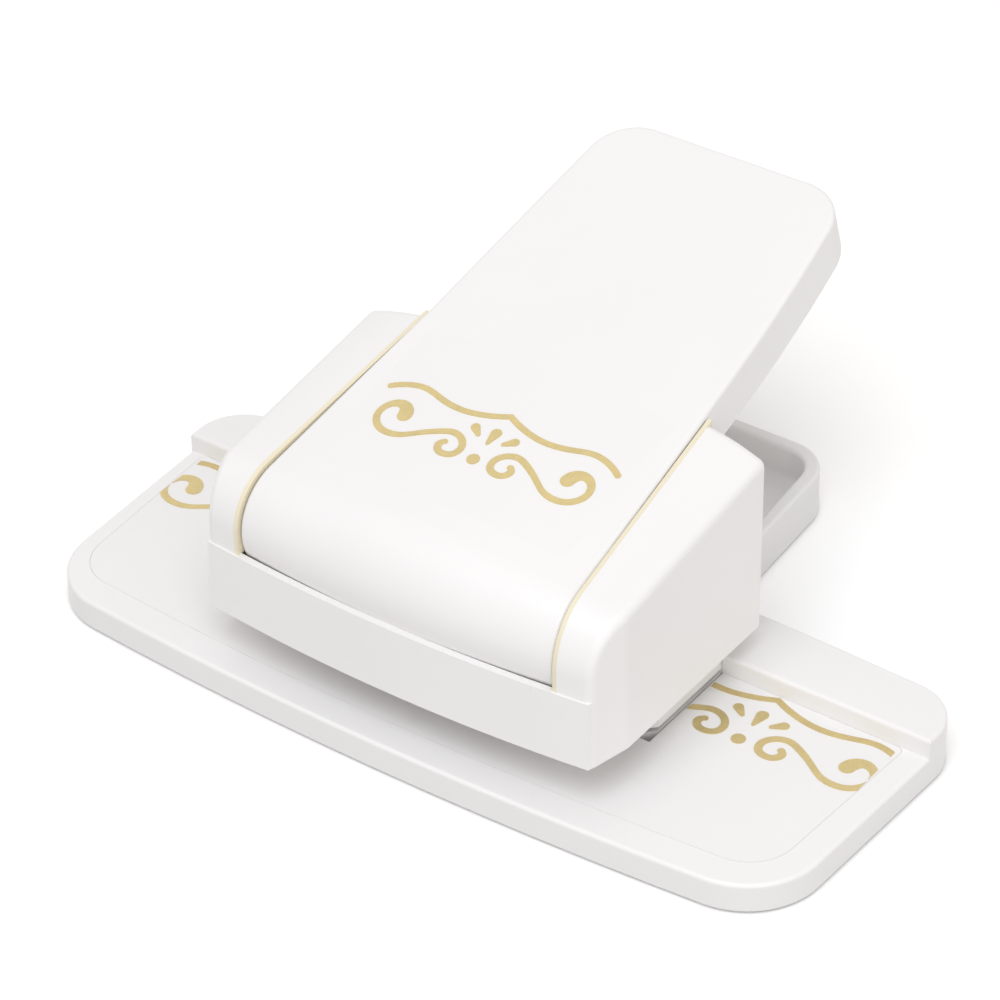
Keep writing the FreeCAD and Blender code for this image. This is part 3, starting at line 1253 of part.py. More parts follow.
def lever_plan(name, inset, end_inset):
    """Ruled solid over the lever's outline, from below its nose to above its crown."""
    loft = doc.addObject("Part::Loft", name)
    loft.Sections = [lever_level(f"{name}_low", "(-Dims.lever_end_rise)", inset, end_inset),
                     lever_level(f"{name}_high", "(Dims.nose_radius)", inset, end_inset)]
    loft.Solid = True
    loft.Ruled = True
    return loft


lever_body = common("lever_outside", crowned("lever_loft", outer_profile), lever_plan("lever_plan", "0", "0"))
lever_hollow = common("lever_hollow", crowned("hollow_loft", inner_profile),
                      lever_plan("hollow_plan", d("lever_side_wall"), d("lever_end_wall")))
doc.recompute()


def rim_behind(edge):
    """Upper rim of the lever behind the head: both sides, the corners and the end."""
    size = edge.BoundBox
    return size.XLength > 2 and size.ZMax > num(f"{END_Z} - Dims.lever_end_skirt / 2")


rim = [edge for edge in lever_body.Shape.Edges if rim_behind(edge)]
lever_rounded = freeform(lever_body.Shape.makeFillet(num(d("lever_rim_round")), rim), "lever_rounded")
lever_walls = cut("lever_walls", lever_rounded, lever_hollow)

# Label let into the lever's top, flush with it, and its printed ornament just proud
LABEL_FRONT = f"({PIVOT_Y} + Dims.label_front)"
LABEL_BACK = f"({PIVOT_Y} + Dims.label_back)"
label_area = free_sketch("label_area_outline", offset=PIVOT_Z)
points, arcs = rounded_plan(LABEL_FRONT, LABEL_BACK, "Dims.label_width / 2", "Dims.label_width / 2",
                            d("label_corner"), d("label_corner"))
draw(label_area, points, arcs)
label_prism = extrude(label_area, "Dims.lever_end_rise", "label_prism")
label_floor = crowned("label_floor", outer_profile, "(-Dims.label_thick)")
lever_label = finish(cut("label_cut", common("label_raised", lever_body, label_prism), label_floor), "lever_label")
print_skin = crowned("print_skin", outer_profile, d("print_thick"))
prisms = []
for face in ornament(0).values():
    figure = face.copy()
    figure.scale(num("Dims.lever_print_scale"), Vector(0, 0, 0))
    prisms.append(raised(figure, 0, num(f"{PIVOT_Y} + Dims.label_print_reach"), num(PIVOT_Z),
                         num(f"{PIVOT_Z} + Dims.lever_end_rise")))
figures = freeform(Part.makeCompound(prisms), "lever_figures")
finish(cut("print_cut", common("print_raised", figures, print_skin), lever_body), "lever_print")

ACROSS = Rotation(Vector(0, 1, 0), 90)
HUB_OUTER = f"({lever_half(PIVOT_Y)} - Dims.lever_side_wall / 2)"
BUSH_RADIUS = "(Dims.pin_radius + Dims.pin_gap + Dims.bush_wall)"
hubs = [cylinder("hub", d("hub_radius"), "Dims.hub_length - Dims.lever_side_wall / 2", x, PIVOT_Y, PIVOT_Z, ACROSS)
        for x in (f"-{HUB_OUTER}", f"{HUB_OUTER} - Dims.hub_length + Dims.lever_side_wall / 2")]
BOLTS = [("left", "(-Dims.stiffener_width / 4)"), ("right", "Dims.stiffener_width / 4")]
BOLT_Y = f"({PIVOT_Y} + (Dims.stiffener_front + Dims.stiffener_back) / 2)"
bolt_posts = [cylinder("bolt_post", "Dims.stiffener_screw + Dims.boss_wall", "3 * Dims.nose_radius",
                       x, BOLT_Y, f"{PIVOT_Z} + Dims.nose_radius / 2") for _, x in BOLTS]

# Steel bar under the top wall: a plate that follows the slope
PLATE_DROP = "(Dims.lever_wall + Dims.stiffener_gap)"


def under_top(y, drop):
    """Height of a line that runs under the top of the lever, along its edge slope."""
    return (f"({PIVOT_Z} + (Dims.nose_radius - ({drop})) / cos({SLOPE_EDGE})"
            f" + (({y}) - {PIVOT_Y}) * tan({SLOPE_EDGE}))")


def slope_band(name, front, back, high, low):
    """Side profile of a plate between two depths under the top."""
    sketch = free_sketch(name, ALONG_Y, "0", "x")
    return draw(sketch, [(front, under_top(front, low)), (back, under_top(back, low)),
                         (back, under_top(back, high)), (front, under_top(front, high))])


STIFF_FRONT = f"({PIVOT_Y} + Dims.stiffener_front)"
STIFF_BACK = f"({PIVOT_Y} + Dims.stiffener_back)"
STIFF_LOW = f"({PLATE_DROP} + Dims.stiffener_thick)"
keep = slope_band("bolt_post_room", f"{STIFF_FRONT} - 1", f"{STIFF_BACK} + 1", "-Dims.lever_wall", PLATE_DROP)
bolt_room = extrude(keep, "Dims.lever_front_width", "bolt_room", symmetric=True)
posts_trimmed = common("bolt_posts_trimmed", common("bolt_posts_inside", fuse("bolt_posts", *bolt_posts), bolt_room),
                       lever_body)

# Ribs under the grip, cut out of the lever's outside by their own lower line
STOP_REACH = f"({STOP_Y} - {PIVOT_Y})"
STOP_RISE = f"({BACK_WALL_TOP} + Dims.stop_height - {PIVOT_Z})"
SWING = "(Dims.lever_swing * 1 deg)"
STOP_Z_AT_REST = f"({PIVOT_Z} + {STOP_RISE} * cos({SWING}) + {STOP_REACH} * sin({SWING}) + Dims.stop_gap)"
RIB_FRONT = f"({STOP_Y} - Dims.rib_wall / 2 - 1)"
rib_low = free_sketch("rib_profile", ALONG_Y, "0", "x")
RIB_BOTTOM_BACK = f"({SKIRT_END_Z} + Dims.rib_inset)"
draw(rib_low, [(RIB_FRONT, f"({STOP_Z_AT_REST})"), (LEVER_END, RIB_BOTTOM_BACK),
               (LEVER_END, f"({END_Z} + 1)"), (RIB_FRONT, f"({END_Z} + 1)")])
rib_room = extrude(rib_low, "Dims.lever_front_width", "rib_room", symmetric=True)
cross_ys = [f"({RIB_FRONT} + {i} * Dims.rib_pitch)" for i in range(5)]
long_xs = [f"({i} * Dims.rib_pitch)" for i in (-1, 0, 1)]
grid = [box("cross_rib", "-Dims.lever_front_width / 2", y, PIVOT_Z, d("lever_front_width"), d("rib_wall"),
            "Dims.lever_end_rise + 5") for y in cross_ys]
grid += [box("long_rib", f"{x} - Dims.rib_wall / 2", RIB_FRONT, PIVOT_Z, d("rib_wall"),
             f"{LEVER_END} - {RIB_FRONT}", "Dims.lever_end_rise + 5") for x in long_xs]
rib_limit = common("rib_limit", crowned("rib_top", outer_profile, "(-Dims.lever_wall / 2)"),
                   lever_plan("rib_plan", "Dims.lever_side_wall / 2", "Dims.lever_end_wall / 2"))
ribs = common("ribs", common("ribs_low", fuse("rib_grid", *grid), rib_room), rib_limit)
lever_solid = fuse("lever_solid", lever_walls, ribs, posts_trimmed, *hubs)
bore = cylinder("hub_bore", BUSH_RADIUS, d("lever_front_width"), "-Dims.lever_front_width / 2",
                PIVOT_Y, PIVOT_Z, ACROSS)
bolt_bores = [cylinder("bolt_bore", d("stiffener_screw"), "Dims.stiffener_bolt_length + 0.3", x, BOLT_Y,
                       f"{under_top(BOLT_Y, STIFF_LOW)} - 0.1") for _, x in BOLTS]
lever_shell = cut("lever_cut", lever_solid, bore, *bolt_bores, lever_label)
finish(lever_shell, "lever_shell")
for side, x in (("left", f"-{HUB_OUTER} - Dims.lever_side_wall / 2 + Dims.bush_inset"),
                ("right", f"{HUB_OUTER} + Dims.lever_side_wall / 2 - Dims.hub_length")):
    sleeve = cylinder("bush_outside", BUSH_RADIUS, "Dims.hub_length - Dims.bush_inset", x, PIVOT_Y, PIVOT_Z, ACROSS)
    inside = cylinder("bush_inside", "Dims.pin_radius + Dims.pin_gap", "Dims.hub_length + 2", f"{x} - 1",
                      PIVOT_Y, PIVOT_Z, ACROSS)
    finish(cut("bush", sleeve, inside), f"lever_bush_{side}")

plate_sides = extrude(slope_band("stiffener_profile", STIFF_FRONT, STIFF_BACK, PLATE_DROP, STIFF_LOW),
                      d("stiffener_width"), "stiffener_plate", symmetric=True)
bolt_holes = [cylinder("stiffener_hole", "Dims.stiffener_screw + Dims.seat_gap", "4 * Dims.stiffener_thick", x,
                       BOLT_Y, f"{under_top(BOLT_Y, STIFF_LOW)} - 2") for _, x in BOLTS]
finish(cut("stiffener_cut", plate_sides, *bolt_holes), "stiffener")
for side, x in BOLTS:
    foot = f"{under_top(BOLT_Y, STIFF_LOW)} - Dims.stiffener_bolt_head"
    parts = [cylinder("bolt_head", "Dims.stiffener_screw + 0.9", d("stiffener_bolt_head"), x, BOLT_Y, f"{foot} - 0.45"),
             cylinder("bolt_shank", d("stiffener_screw"), "Dims.stiffener_bolt_length + Dims.stiffener_bolt_head",
                      x, BOLT_Y, f"{foot} - 0.45")]
    finish(fuse("bolt", *parts), f"stiffener_screw_{side}")

# Bar that presses on the punch holder, its foot round about the line of contact
press_profile = free_sketch("press_profile", ALONG_Y, "0", "x")
PRESS_AXIS_Z = f"({BACKING_TOP} + Dims.press_gap + Dims.press_bar_radius)"
press_front = f"({PRESS_Y} - Dims.press_bar_radius)"
press_back = f"({PRESS_Y} + Dims.press_bar_radius)"
draw(press_profile, [(press_front, PRESS_AXIS_Z), (PRESS_Y, f"({PRESS_AXIS_Z} - Dims.press_bar_radius)"),
                     (press_back, PRESS_AXIS_Z), (press_back, under_top(press_back, STIFF_LOW)),
                     (press_front, under_top(press_front, STIFF_LOW))],
     {0: (d("press_bar_radius"), 1), 1: (d("press_bar_radius"), 1)})
finish(extrude(press_profile, d("press_bar_width"), "press_solid", symmetric=True), "press_bar")

# Punch set: holder on two posts, backing plate and one punch for each figure

HOLDER_FRONT = f"({PRESS_Y} - Dims.holder_depth / 2)"
HOLDER_BACK = f"({PRESS_Y} + Dims.holder_depth / 2)"
HOLDER_HALF = "(Dims.holder_width / 2)"
EAR_HALF = f"(Dims.post_spread + Dims.ear_reach)"
EAR_FRONT = f"({POST_Y} - Dims.ear_depth / 2)"
EAR_BACK = f"({POST_Y} + Dims.ear_depth / 2)"
POST_BUSH_RADIUS = "(Dims.post_radius + Dims.post_gap + Dims.post_bush_wall)"

holder_blank = doc.addObject("PartDesign::Body", "holder_blank")
outline = body_sketch(holder_blank, "holder_outline", offset=HOLDER_BASE)
right_side = [(HOLDER_HALF, HOLDER_FRONT), (HOLDER_HALF, EAR_FRONT), (EAR_HALF, EAR_FRONT),
              (EAR_HALF, EAR_BACK), (HOLDER_HALF, EAR_BACK), (HOLDER_HALF, HOLDER_BACK)]
draw(outline, right_side + [(f"-{x}", y) for x, y in right_side[::-1]])
for _, x in POSTS:
    ring(outline, x, POST_Y, f"{POST_BUSH_RADIUS} + Dims.snug_gap")
pad(holder_blank, outline, d("holder_thick"))
PUNCH_BOLTS = [("left", "(-Dims.holder_screw_spread)"), ("right", "Dims.holder_screw_spread")]
bores = body_sketch(holder_blank, "holder_screw_bores", offset=HOLDER_TOP)
for _, x in PUNCH_BOLTS:
    ring(bores, x, PRESS_Y, "Dims.holder_screw + Dims.snug_gap")
pocket(holder_blank, bores, "Dims.holder_thick - Dims.punch_tenon")
seats = [raised(face, 0, num(PATTERN_Y), num(HOLDER_BASE) - 1, num(f"{HOLDER_BASE} + Dims.punch_tenon"))
         for face in ornament(num("Dims.snug_gap")).values()]
finish(cut("holder_cut", holder_blank, freeform(Part.makeCompound(seats), "punch_seats")), "punch_holder")

backing = new_body("backing_plate")
outline = body_sketch(backing, "backing_outline", offset=HOLDER_TOP)
backing_half = f"({HOLDER_HALF} - Dims.backing_inset)"
draw(outline, *rounded_plan(f"({HOLDER_FRONT} + Dims.backing_inset)", f"({HOLDER_BACK} - Dims.backing_inset)",
                            backing_half, backing_half, "1.5", "1.5"))
pad(backing, outline, d("backing_thick"))
bores = body_sketch(backing, "backing_holes", offset=BACKING_TOP)
for _, x in PUNCH_BOLTS:
    ring(bores, x, PRESS_Y, "Dims.holder_screw + Dims.snug_gap")
pocket(backing, bores, d("backing_thick"))
nodes.remove(backing)
backing.Label = "backing_blank"
SINK = "(Dims.holder_screw * 0.9)"
sinks = [cone("backing_sink", "Dims.holder_screw + Dims.snug_gap", f"Dims.holder_screw + {SINK} + Dims.snug_gap", SINK,
              x, PRESS_Y, f"{BACKING_TOP} - {SINK}") for _, x in PUNCH_BOLTS]
finish(cut("backing_cut", backing, *sinks), "backing_plate")
for side, x in PUNCH_BOLTS:
    length = "Dims.backing_thick + Dims.holder_thick - Dims.punch_tenon - 0.2"
    parts = [cone("holder_screw_head", d("holder_screw"), f"Dims.holder_screw + {SINK}", SINK, x, PRESS_Y,
                  f"{BACKING_TOP} - {SINK}"),
             cylinder("holder_screw_shank", d("holder_screw"), f"{length} - {SINK}", x, PRESS_Y,
                      f"{BACKING_TOP} - ({length})")]
    finish(fuse("holder_screw", *parts), f"holder_screw_{side}")

TIP = f"({DECK} + Dims.punch_rest_lift)"
for figure, face in ornament(0).items():
    shape = raised(face, 0, num(PATTERN_Y), num(TIP), num(f"{HOLDER_BASE} + Dims.punch_tenon"))
    finish(freeform(shape, f"punch_{figure}"), f"punch_{figure}")

# Posts that guide the holder, with their bushes, clips and return springs

POST_LOW = f"({HEAD_BASE} - Dims.post_seat)"
POST_HIGH = f"({HOLDER_TOP} + Dims.clip_thick + Dims.post_top)"
for side, x in POSTS:
    finish(cylinder("post", d("post_radius"), f"{POST_HIGH} - {POST_LOW}", x, POST_Y, POST_LOW), f"post_{side}")
    sleeve = cylinder("sleeve", POST_BUSH_RADIUS, d("holder_thick"), x, POST_Y, HOLDER_BASE)
    inside = cylinder("sleeve_inside", "Dims.post_radius + Dims.post_gap", "Dims.holder_thick + 2", x, POST_Y,
                      f"{HOLDER_BASE} - 1")
    finish(cut("post_bush", sleeve, inside), f"post_bush_{side}")
    disc = cylinder("clip_disc", d("clip_radius"), d("clip_thick"), x, POST_Y, f"{HOLDER_TOP} + Dims.clip_gap")
    inside = cylinder("clip_inside", "Dims.post_radius + Dims.snug_gap", "Dims.clip_thick + 2", x, POST_Y,
                      f"{HOLDER_TOP} + Dims.clip_gap - 1")
    finish(cut("clip", disc, inside), f"post_clip_{side}")
    wire = num("Dims.spring_wire / 2")
    height = num(f"{HOLDER_BASE} - {HEAD_BASE} - Dims.spring_wire")
    coil = num("Dims.spring_radius")
    helix = Part.makeHelix(height / num("Dims.spring_turns"), height, coil)
    section = Part.Wire(Part.makeCircle(wire, Vector(coil, 0, 0), Vector(0, 1, 0)))
    spring = Part.Wire(helix.Edges).makePipeShell([section], True, True)
    obj = freeform(spring, f"spring_{side}")
    obj.Placement = Placement(Vector(num(x), num(POST_Y), num(HEAD_BASE) + wire), Rotation())
    finish(obj, f"return_spring_{side}")

# Check every object, then write each piece to its own file

doc.recompute()
broken = [obj.Label for obj in doc.Objects if {"Invalid", "Error"} & set(obj.State)]
if broken:
    raise RuntimeError("failed objects: " + ", ".join(broken))
labels = [node.Label for node in nodes]
if len(set(labels)) != len(labels):
    raise RuntimeError("two pieces share a name")
for node in nodes:
    if node.Shape.isNull() or not node.Shape.isValid() or not node.Shape.Solids:
        raise RuntimeError(f"{node.Label} has no valid solid")

os.makedirs("parts", exist_ok=True)
for node in nodes:
    node.Shape.exportStep(f"parts/{node.Label}.step")
print(f"{len(nodes)} pieces written")
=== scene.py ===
import json
import math

import bmesh
import bpy
from bpy.props import FloatProperty, FloatVectorProperty, PointerProperty
from bpy.types import Operator, Panel, PropertyGroup
from mathutils import Matrix, Vector


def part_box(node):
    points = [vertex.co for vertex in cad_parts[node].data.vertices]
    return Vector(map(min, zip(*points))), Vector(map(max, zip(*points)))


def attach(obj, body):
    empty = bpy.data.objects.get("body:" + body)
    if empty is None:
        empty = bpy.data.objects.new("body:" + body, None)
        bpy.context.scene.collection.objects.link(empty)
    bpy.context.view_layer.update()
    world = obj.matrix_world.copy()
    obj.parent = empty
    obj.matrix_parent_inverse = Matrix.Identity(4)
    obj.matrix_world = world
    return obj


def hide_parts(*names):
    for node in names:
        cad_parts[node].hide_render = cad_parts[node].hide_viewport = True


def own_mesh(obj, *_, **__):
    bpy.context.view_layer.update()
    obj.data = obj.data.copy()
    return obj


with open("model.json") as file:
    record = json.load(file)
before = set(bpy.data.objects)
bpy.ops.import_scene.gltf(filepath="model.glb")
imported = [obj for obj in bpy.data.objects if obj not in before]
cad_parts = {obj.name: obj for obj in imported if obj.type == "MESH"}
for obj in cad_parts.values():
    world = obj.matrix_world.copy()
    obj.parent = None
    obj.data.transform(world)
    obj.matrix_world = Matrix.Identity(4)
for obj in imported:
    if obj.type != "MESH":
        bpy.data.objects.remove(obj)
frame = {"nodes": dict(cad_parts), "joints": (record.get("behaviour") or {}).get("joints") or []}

# Border punch, dressed for its picture. Lengths in metres, in the frame of
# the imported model: X along the fence, Y from the front edge to the tail, Z up.

bl_info = {
    "name": "Border punch",
    "version": (1, 0, 0),
    "blender": (4, 5, 0),
    "location": "3D View > Sidebar > Border punch",
    "description": "Pieces, finishes and studio of a border punch",
    "category": "Object",
}

for startup in ("Cube", "Light", "Camera"):
    if startup in bpy.data.objects:
        bpy.data.objects.remove(bpy.data.objects[startup])
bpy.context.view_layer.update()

MM = 0.001
CORNERS = [f"{side}_{end}" for side in ("left", "right") for end in ("front", "back")]

# Meshes: steps of a full turn, tolerances, and the angle of a sharp edge
ROUND_STEPS = 24
LEVEL_TOLERANCE = 0.01 * MM
MERGE_DISTANCE = 0.002 * MM
SHARP_ANGLE = math.radians(35)

# Feet: the dish, its floor and rim as shares of the radius, and the rounded edge
DISH_DEPTH = 0.15 * MM
DISH_FLOOR = 0.66
DISH_RIM = 0.72
FOOT_ROUND = 0.4 * MM
FOOT_BEVEL = 0.12 * MM

# Screws: shanks, heads and bevels, and the cross as shares of the head's flat
COVER_SHANK = 1.1 * MM
COVER_BEVEL = 0.1 * MM
NECK_SHANK = 1.5 * MM
NECK_HEAD = 1.2 * MM
NECK_BEVEL = 0.3 * MM
CROSS_REACH = 0.68
CROSS_WIDTH = 0.3
CROSS_DEPTH = 0.45
CROSS_FLOOR = 0.7

# Studio: lengths in metres, and the lamps' azimuth and elevation in degrees
LAMP_REACH = 1.06
LAMP_WIDTH = 0.8
KEY_PLACE = (20.0, 62.0)
KEY_COLOUR = (0.97, 1.0, 1.07)
FILL_PLACE = (60.0, 12.0)
FILL_COLOUR = (1.0, 1.0, 1.0)
SKY_COLOUR = (1.0, 0.977, 0.945, 1.0)
FLOOR_COLOUR = (0.60, 0.595, 0.59, 1.0)
FLOOR_HALF = 3.0
FLOOR_GLOW = 0.10
WHITE = (1.0, 1.0, 1.0, 1.0)
SENSOR_WIDTH = 36.0
NEAR_CLIP = 0.01


# Sizes and colours that a user would change

class PunchColours(PropertyGroup):
    """Colours of the finishes, as linear values."""

    shell: FloatVectorProperty(
        name="Shell", description="White plastic of the base, the head and the lever",
        subtype="COLOR", size=3, min=0, max=1, default=(0.858, 0.848, 0.842))
    liner: FloatVectorProperty(
        name="Liner", description="Cream strips beside the lever",
        subtype="COLOR", size=3, min=0, max=1, default=(0.82, 0.75, 0.57))
    gold: FloatVectorProperty(
        name="Gold", description="Foil of the printed ornament",
        subtype="COLOR", size=3, min=0, max=1, default=(0.71, 0.57, 0.275))
    rubber: FloatVectorProperty(
        name="Rubber", description="Feet and the stops of the lever",
        subtype="COLOR", size=3, min=0, max=1, default=(0.045, 0.045, 0.047))


class PunchStudio(PropertyGroup):
    """Camera and light."""

    azimuth: FloatProperty(
        name="Azimuth", description="Turn of the camera round the punch",
        subtype="ANGLE", default=math.radians(36.169))
    elevation: FloatProperty(
        name="Elevation", description="Height of the camera above the horizon",
        subtype="ANGLE", default=math.radians(35.929))
    roll: FloatProperty(
        name="Roll", description="Tilt of the camera about its own axis",
        subtype="ANGLE", default=math.radians(-1.029))
    distance: FloatProperty(
        name="Distance", description="From the camera to its target",
        unit="LENGTH", default=0.71805)
    target: FloatVectorProperty(
        name="Target", description="Point that the camera looks at",
        subtype="TRANSLATION", size=3, default=(-0.011157, -0.002602, 0.0206))
    lens: FloatProperty(
        name="Lens", description="Focal length in millimetres on a 36 mm sensor",
        default=146.33, min=20)
    sky: FloatProperty(
        name="Sky", description="Strength of the even light from all round",
        default=0.70, min=0)
    key: FloatProperty(
        name="Key", description="Power of the large soft lamp overhead, in watts",
        default=4.5, min=0)
    fill: FloatProperty(
        name="Fill", description="Power of the low soft lamp on the right, in watts",
        default=1.75, min=0)


# Shader tools

class Signal:
    """Value in a node tree. Arithmetic on it adds Math nodes."""

    def __init__(self, nodes, socket):
        self.nodes = nodes
        self.socket = socket

    def maths(self, operation, other):
        return self.nodes.node("ShaderNodeMath", {"operation": operation}, {0: self, 1: other}, 0)

    def __add__(self, other):
        return self.maths("ADD", other)

    def __mul__(self, other):
        return self.maths("MULTIPLY", other)

    __radd__ = __add__
    __rmul__ = __mul__


class Nodes:
    """Empty node tree of a material or a world, filled node by node."""

    def __init__(self, owner):
        owner.use_nodes = True
        self.tree = owner.node_tree
        self.tree.nodes.clear()

    def node(self, kind, settings=None, inputs=None, output=None):
        """New node; with an output named, its signal instead of the node."""
        made = self.tree.nodes.new(kind)
        for key, value in (settings or {}).items():
            setattr(made, key, value)
        for key, value in (inputs or {}).items():
            if isinstance(value, Signal):
                self.tree.links.new(value.socket, made.inputs[key])
            else:
                made.inputs[key].default_value = value
        return made if output is None else Signal(self, made.outputs[output])

    def white_behind(self, lit, white):
        """Second shader for the rays that see the background, and the first for all others."""
        path = self.node("ShaderNodeLightPath")
        seen = Signal(self, path.outputs["Is Camera Ray"])
        for kind in ("Is Glossy Ray", "Is Transmission Ray"):
            seen = seen.maths("MAXIMUM", Signal(self, path.outputs[kind]))
        return self.node("ShaderNodeMixShader", {}, {0: seen, 1: lit, 2: white}, 0)


class Finish(Nodes):
    """Material built round one Principled shader, its patterns on Object coordinates."""

    def __init__(self, name, **constants):
        self.material = bpy.data.materials.new(name)
        super().__init__(self.material)
        self.shader = self.node("ShaderNodeBsdfPrincipled", {}, constants)
        self.node("ShaderNodeOutputMaterial", {}, {"Surface": Signal(self, self.shader.outputs["BSDF"])})
        self.place = self.node("ShaderNodeTexCoord", {}, {}, "Object")

    def stretched(self, scale, turn=(0.0, 0.0, 0.0)):
        """Object coordinates scaled and turned for a pattern."""
        return self.node("ShaderNodeMapping", {},
                         {"Vector": self.place, "Scale": scale, "Rotation": turn}, 0)

    def noise(self, scale, detail=2.0, vector=None):
        return self.node("ShaderNodeTexNoise", {},
                         {"Vector": vector or self.place, "Scale": scale, "Detail": detail,
                          "Roughness": 0.55}, "Fac")

    def ranged(self, signal, low, high, to_low=0.0, to_high=1.0):
        return self.node("ShaderNodeMapRange", {},
                         {"Value": signal, "From Min": low, "From Max": high,
                          "To Min": to_low, "To Max": to_high}, "Result")

    def mixed(self, factor, first, second):
        """Colour between two colours."""
        return self.node("ShaderNodeMix", {"data_type": "RGBA"},
                         {0: factor, 6: (*first, 1.0), 7: (*second, 1.0)}, 2)

    def feed(self, name, signal):
        self.tree.links.new(signal.socket, self.shader.inputs[name])

    def bump(self, *layers):
        """Chained bumps, each a height signal with its strength and depth."""
        normal = {}
        for height, strength, depth in layers:
            inputs = {"Height": height, "Strength": strength, "Distance": depth, **normal}
            normal = {"Normal": self.node("ShaderNodeBump", {}, inputs, "Normal")}
        self.feed("Normal", normal["Normal"])


def shade(colour, factor):
    """Colour made lighter or darker."""
    return tuple(min(channel * factor, 1.0) for channel in colour)


# Finishes

def white_plastic(name, colour, gloss=0.27):
    """Injection-moulded plastic: even, satin, with a faint flow and fine peel."""
    made = Finish(name, **{"IOR": 1.49, "Specular IOR Level": 0.5})
    flow = made.noise(scale=28.0, detail=3.0)
    peel = made.noise(scale=1400.0)
    cloud = made.ranged(flow, 0.35, 0.65)
    made.feed("Base Color", made.mixed(cloud, shade(colour, 0.992), shade(colour, 1.008)))
    made.feed("Roughness", gloss + peel * 0.05 + cloud * 0.03)
    made.bump((flow, 0.06, 0.2 * MM), (peel, 0.05, 0.02 * MM))
    return made.material


def guide_film(name, colour):
    """Thin smooth film let into the deck."""
    made = Finish(name, IOR=1.46)
    grain = made.noise(scale=2600.0)
    tone = made.noise(scale=60.0)
    made.feed("Base Color", made.mixed(tone, shade(colour, 0.985), shade(colour, 1.0)))
    made.feed("Roughness", 0.33 + grain * 0.07)
    made.bump((grain, 0.05, 0.02 * MM))
    return made.material


def gold_foil(name, colour):
    """Hot-stamped foil: metallic with a fine dull grain."""
    made = Finish(name)
    grain = made.noise(scale=5200.0, detail=3.0)
    cloud = made.noise(scale=420.0)
    made.feed("Metallic", made.ranged(grain, 0.3, 0.7, 0.62, 0.82))
    made.feed("Base Color", made.mixed(made.ranged(grain + cloud * 0.5, 0.5, 1.0),
                                       shade(colour, 0.86), shade(colour, 1.08)))
    made.feed("Roughness", 0.34 + cloud * 0.14)
    made.bump((grain, 0.12, 0.02 * MM))
    return made.material


def soft_rubber(name, colour):
    """Black rubber with a fine grain and a little dust."""
    made = Finish(name)
    grain = made.noise(scale=2200.0, detail=3.0)
    dust = made.noise(scale=300.0, detail=4.0)
    made.feed("Base Color", made.mixed(made.ranged(dust, 0.45, 0.8), colour, shade(colour, 2.2)))
    made.feed("Roughness", 0.62 + grain * 0.2)
    made.bump((grain, 0.3, 0.05 * MM))
    return made.material


def moulded_liner(name, colour):
    """Matt plastic strip with a slow change of tone."""
    made = Finish(name, IOR=1.48)
    grain = made.noise(scale=1800.0)
    tone = made.noise(scale=90.0)
    made.feed("Base Color", made.mixed(tone, shade(colour, 0.97), shade(colour, 1.03)))
    made.feed("Roughness", 0.42 + grain * 0.1)
    made.bump((grain, 0.1, 0.03 * MM))
    return made.material


def pale_casting(name):
    """Die casting under a pale coat: faintly mottled, with a sandy skin."""
    made = Finish(name, IOR=1.5)
    sand = made.noise(scale=2400.0, detail=4.0)
    mottle = made.noise(scale=160.0, detail=3.0)
    made.feed("Base Color", made.mixed(mottle, (0.82, 0.81, 0.80), (0.87, 0.86, 0.85)))
    made.feed("Roughness", 0.34 + sand * 0.14)
    made.bump((sand, 0.25, 0.03 * MM))
    return made.material


def cast_zinc(name):
    """Bare die casting: pale grey, faintly mottled, with a sandy skin."""
    made = Finish(name)
    sand = made.noise(scale=2400.0, detail=4.0)
    mottle = made.noise(scale=160.0, detail=3.0)
    made.feed("Metallic", made.ranged(mottle, 0.3, 0.7, 0.25, 0.35))
    made.feed("Base Color", made.mixed(mottle, (0.62, 0.62, 0.62), (0.72, 0.72, 0.72)))
    made.feed("Roughness", 0.42 + sand * 0.16)
    made.bump((sand, 0.35, 0.04 * MM))
    return made.material


def ground_steel(name, level=0.56, fine=0.20, turn=(0.0, 0.0, 0.0)):
    """Ground plate or turned pin: fine lines in one direction."""
    made = Finish(name, Metallic=1.0)
    lines = made.noise(scale=1.0, detail=3.0, vector=made.stretched((300.0, 9000.0, 9000.0), turn))
    stain = made.noise(scale=120.0, detail=3.0)
    colour = (level, level, level * 1.02)
    made.feed("Base Color", made.mixed(lines, shade(colour, 0.9), shade(colour, 1.12)))
    made.feed("Roughness", fine + lines * 0.12 + stain * 0.06)
    made.bump((lines, 0.15, 0.01 * MM))
    return made.material


def turned_brass(name):
    """Turned bush: fine lines across its length."""
    made = Finish(name, Metallic=1.0)
    lines = made.noise(scale=1.0, vector=made.stretched((6000.0, 500.0, 500.0)))
    made.feed("Base Color", made.mixed(lines, (0.62, 0.43, 0.17), (0.76, 0.56, 0.25)))
    made.feed("Roughness", 0.24 + lines * 0.14)
    made.bump((lines, 0.1, 0.01 * MM))
    return made.material


def nylon(name, colour):
    """Matt moulded nylon."""
    made = Finish(name, IOR=1.53)
    grain = made.noise(scale=1500.0)
    made.feed("Base Color", made.mixed(grain, shade(colour, 0.95), shade(colour, 1.04)))
    made.feed("Roughness", 0.36 + grain * 0.08)
    made.bump((grain, 0.08, 0.02 * MM))
    return made.material


def finish_nodes(material, *names):
    """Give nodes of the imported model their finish."""
    for name in names:
        node = frame["nodes"][name]
        for index in range(len(node.data.materials)):
            node.data.materials[index] = material


def sides(stem):
    return [f"{stem}_left", f"{stem}_right"]


# Mesh tools

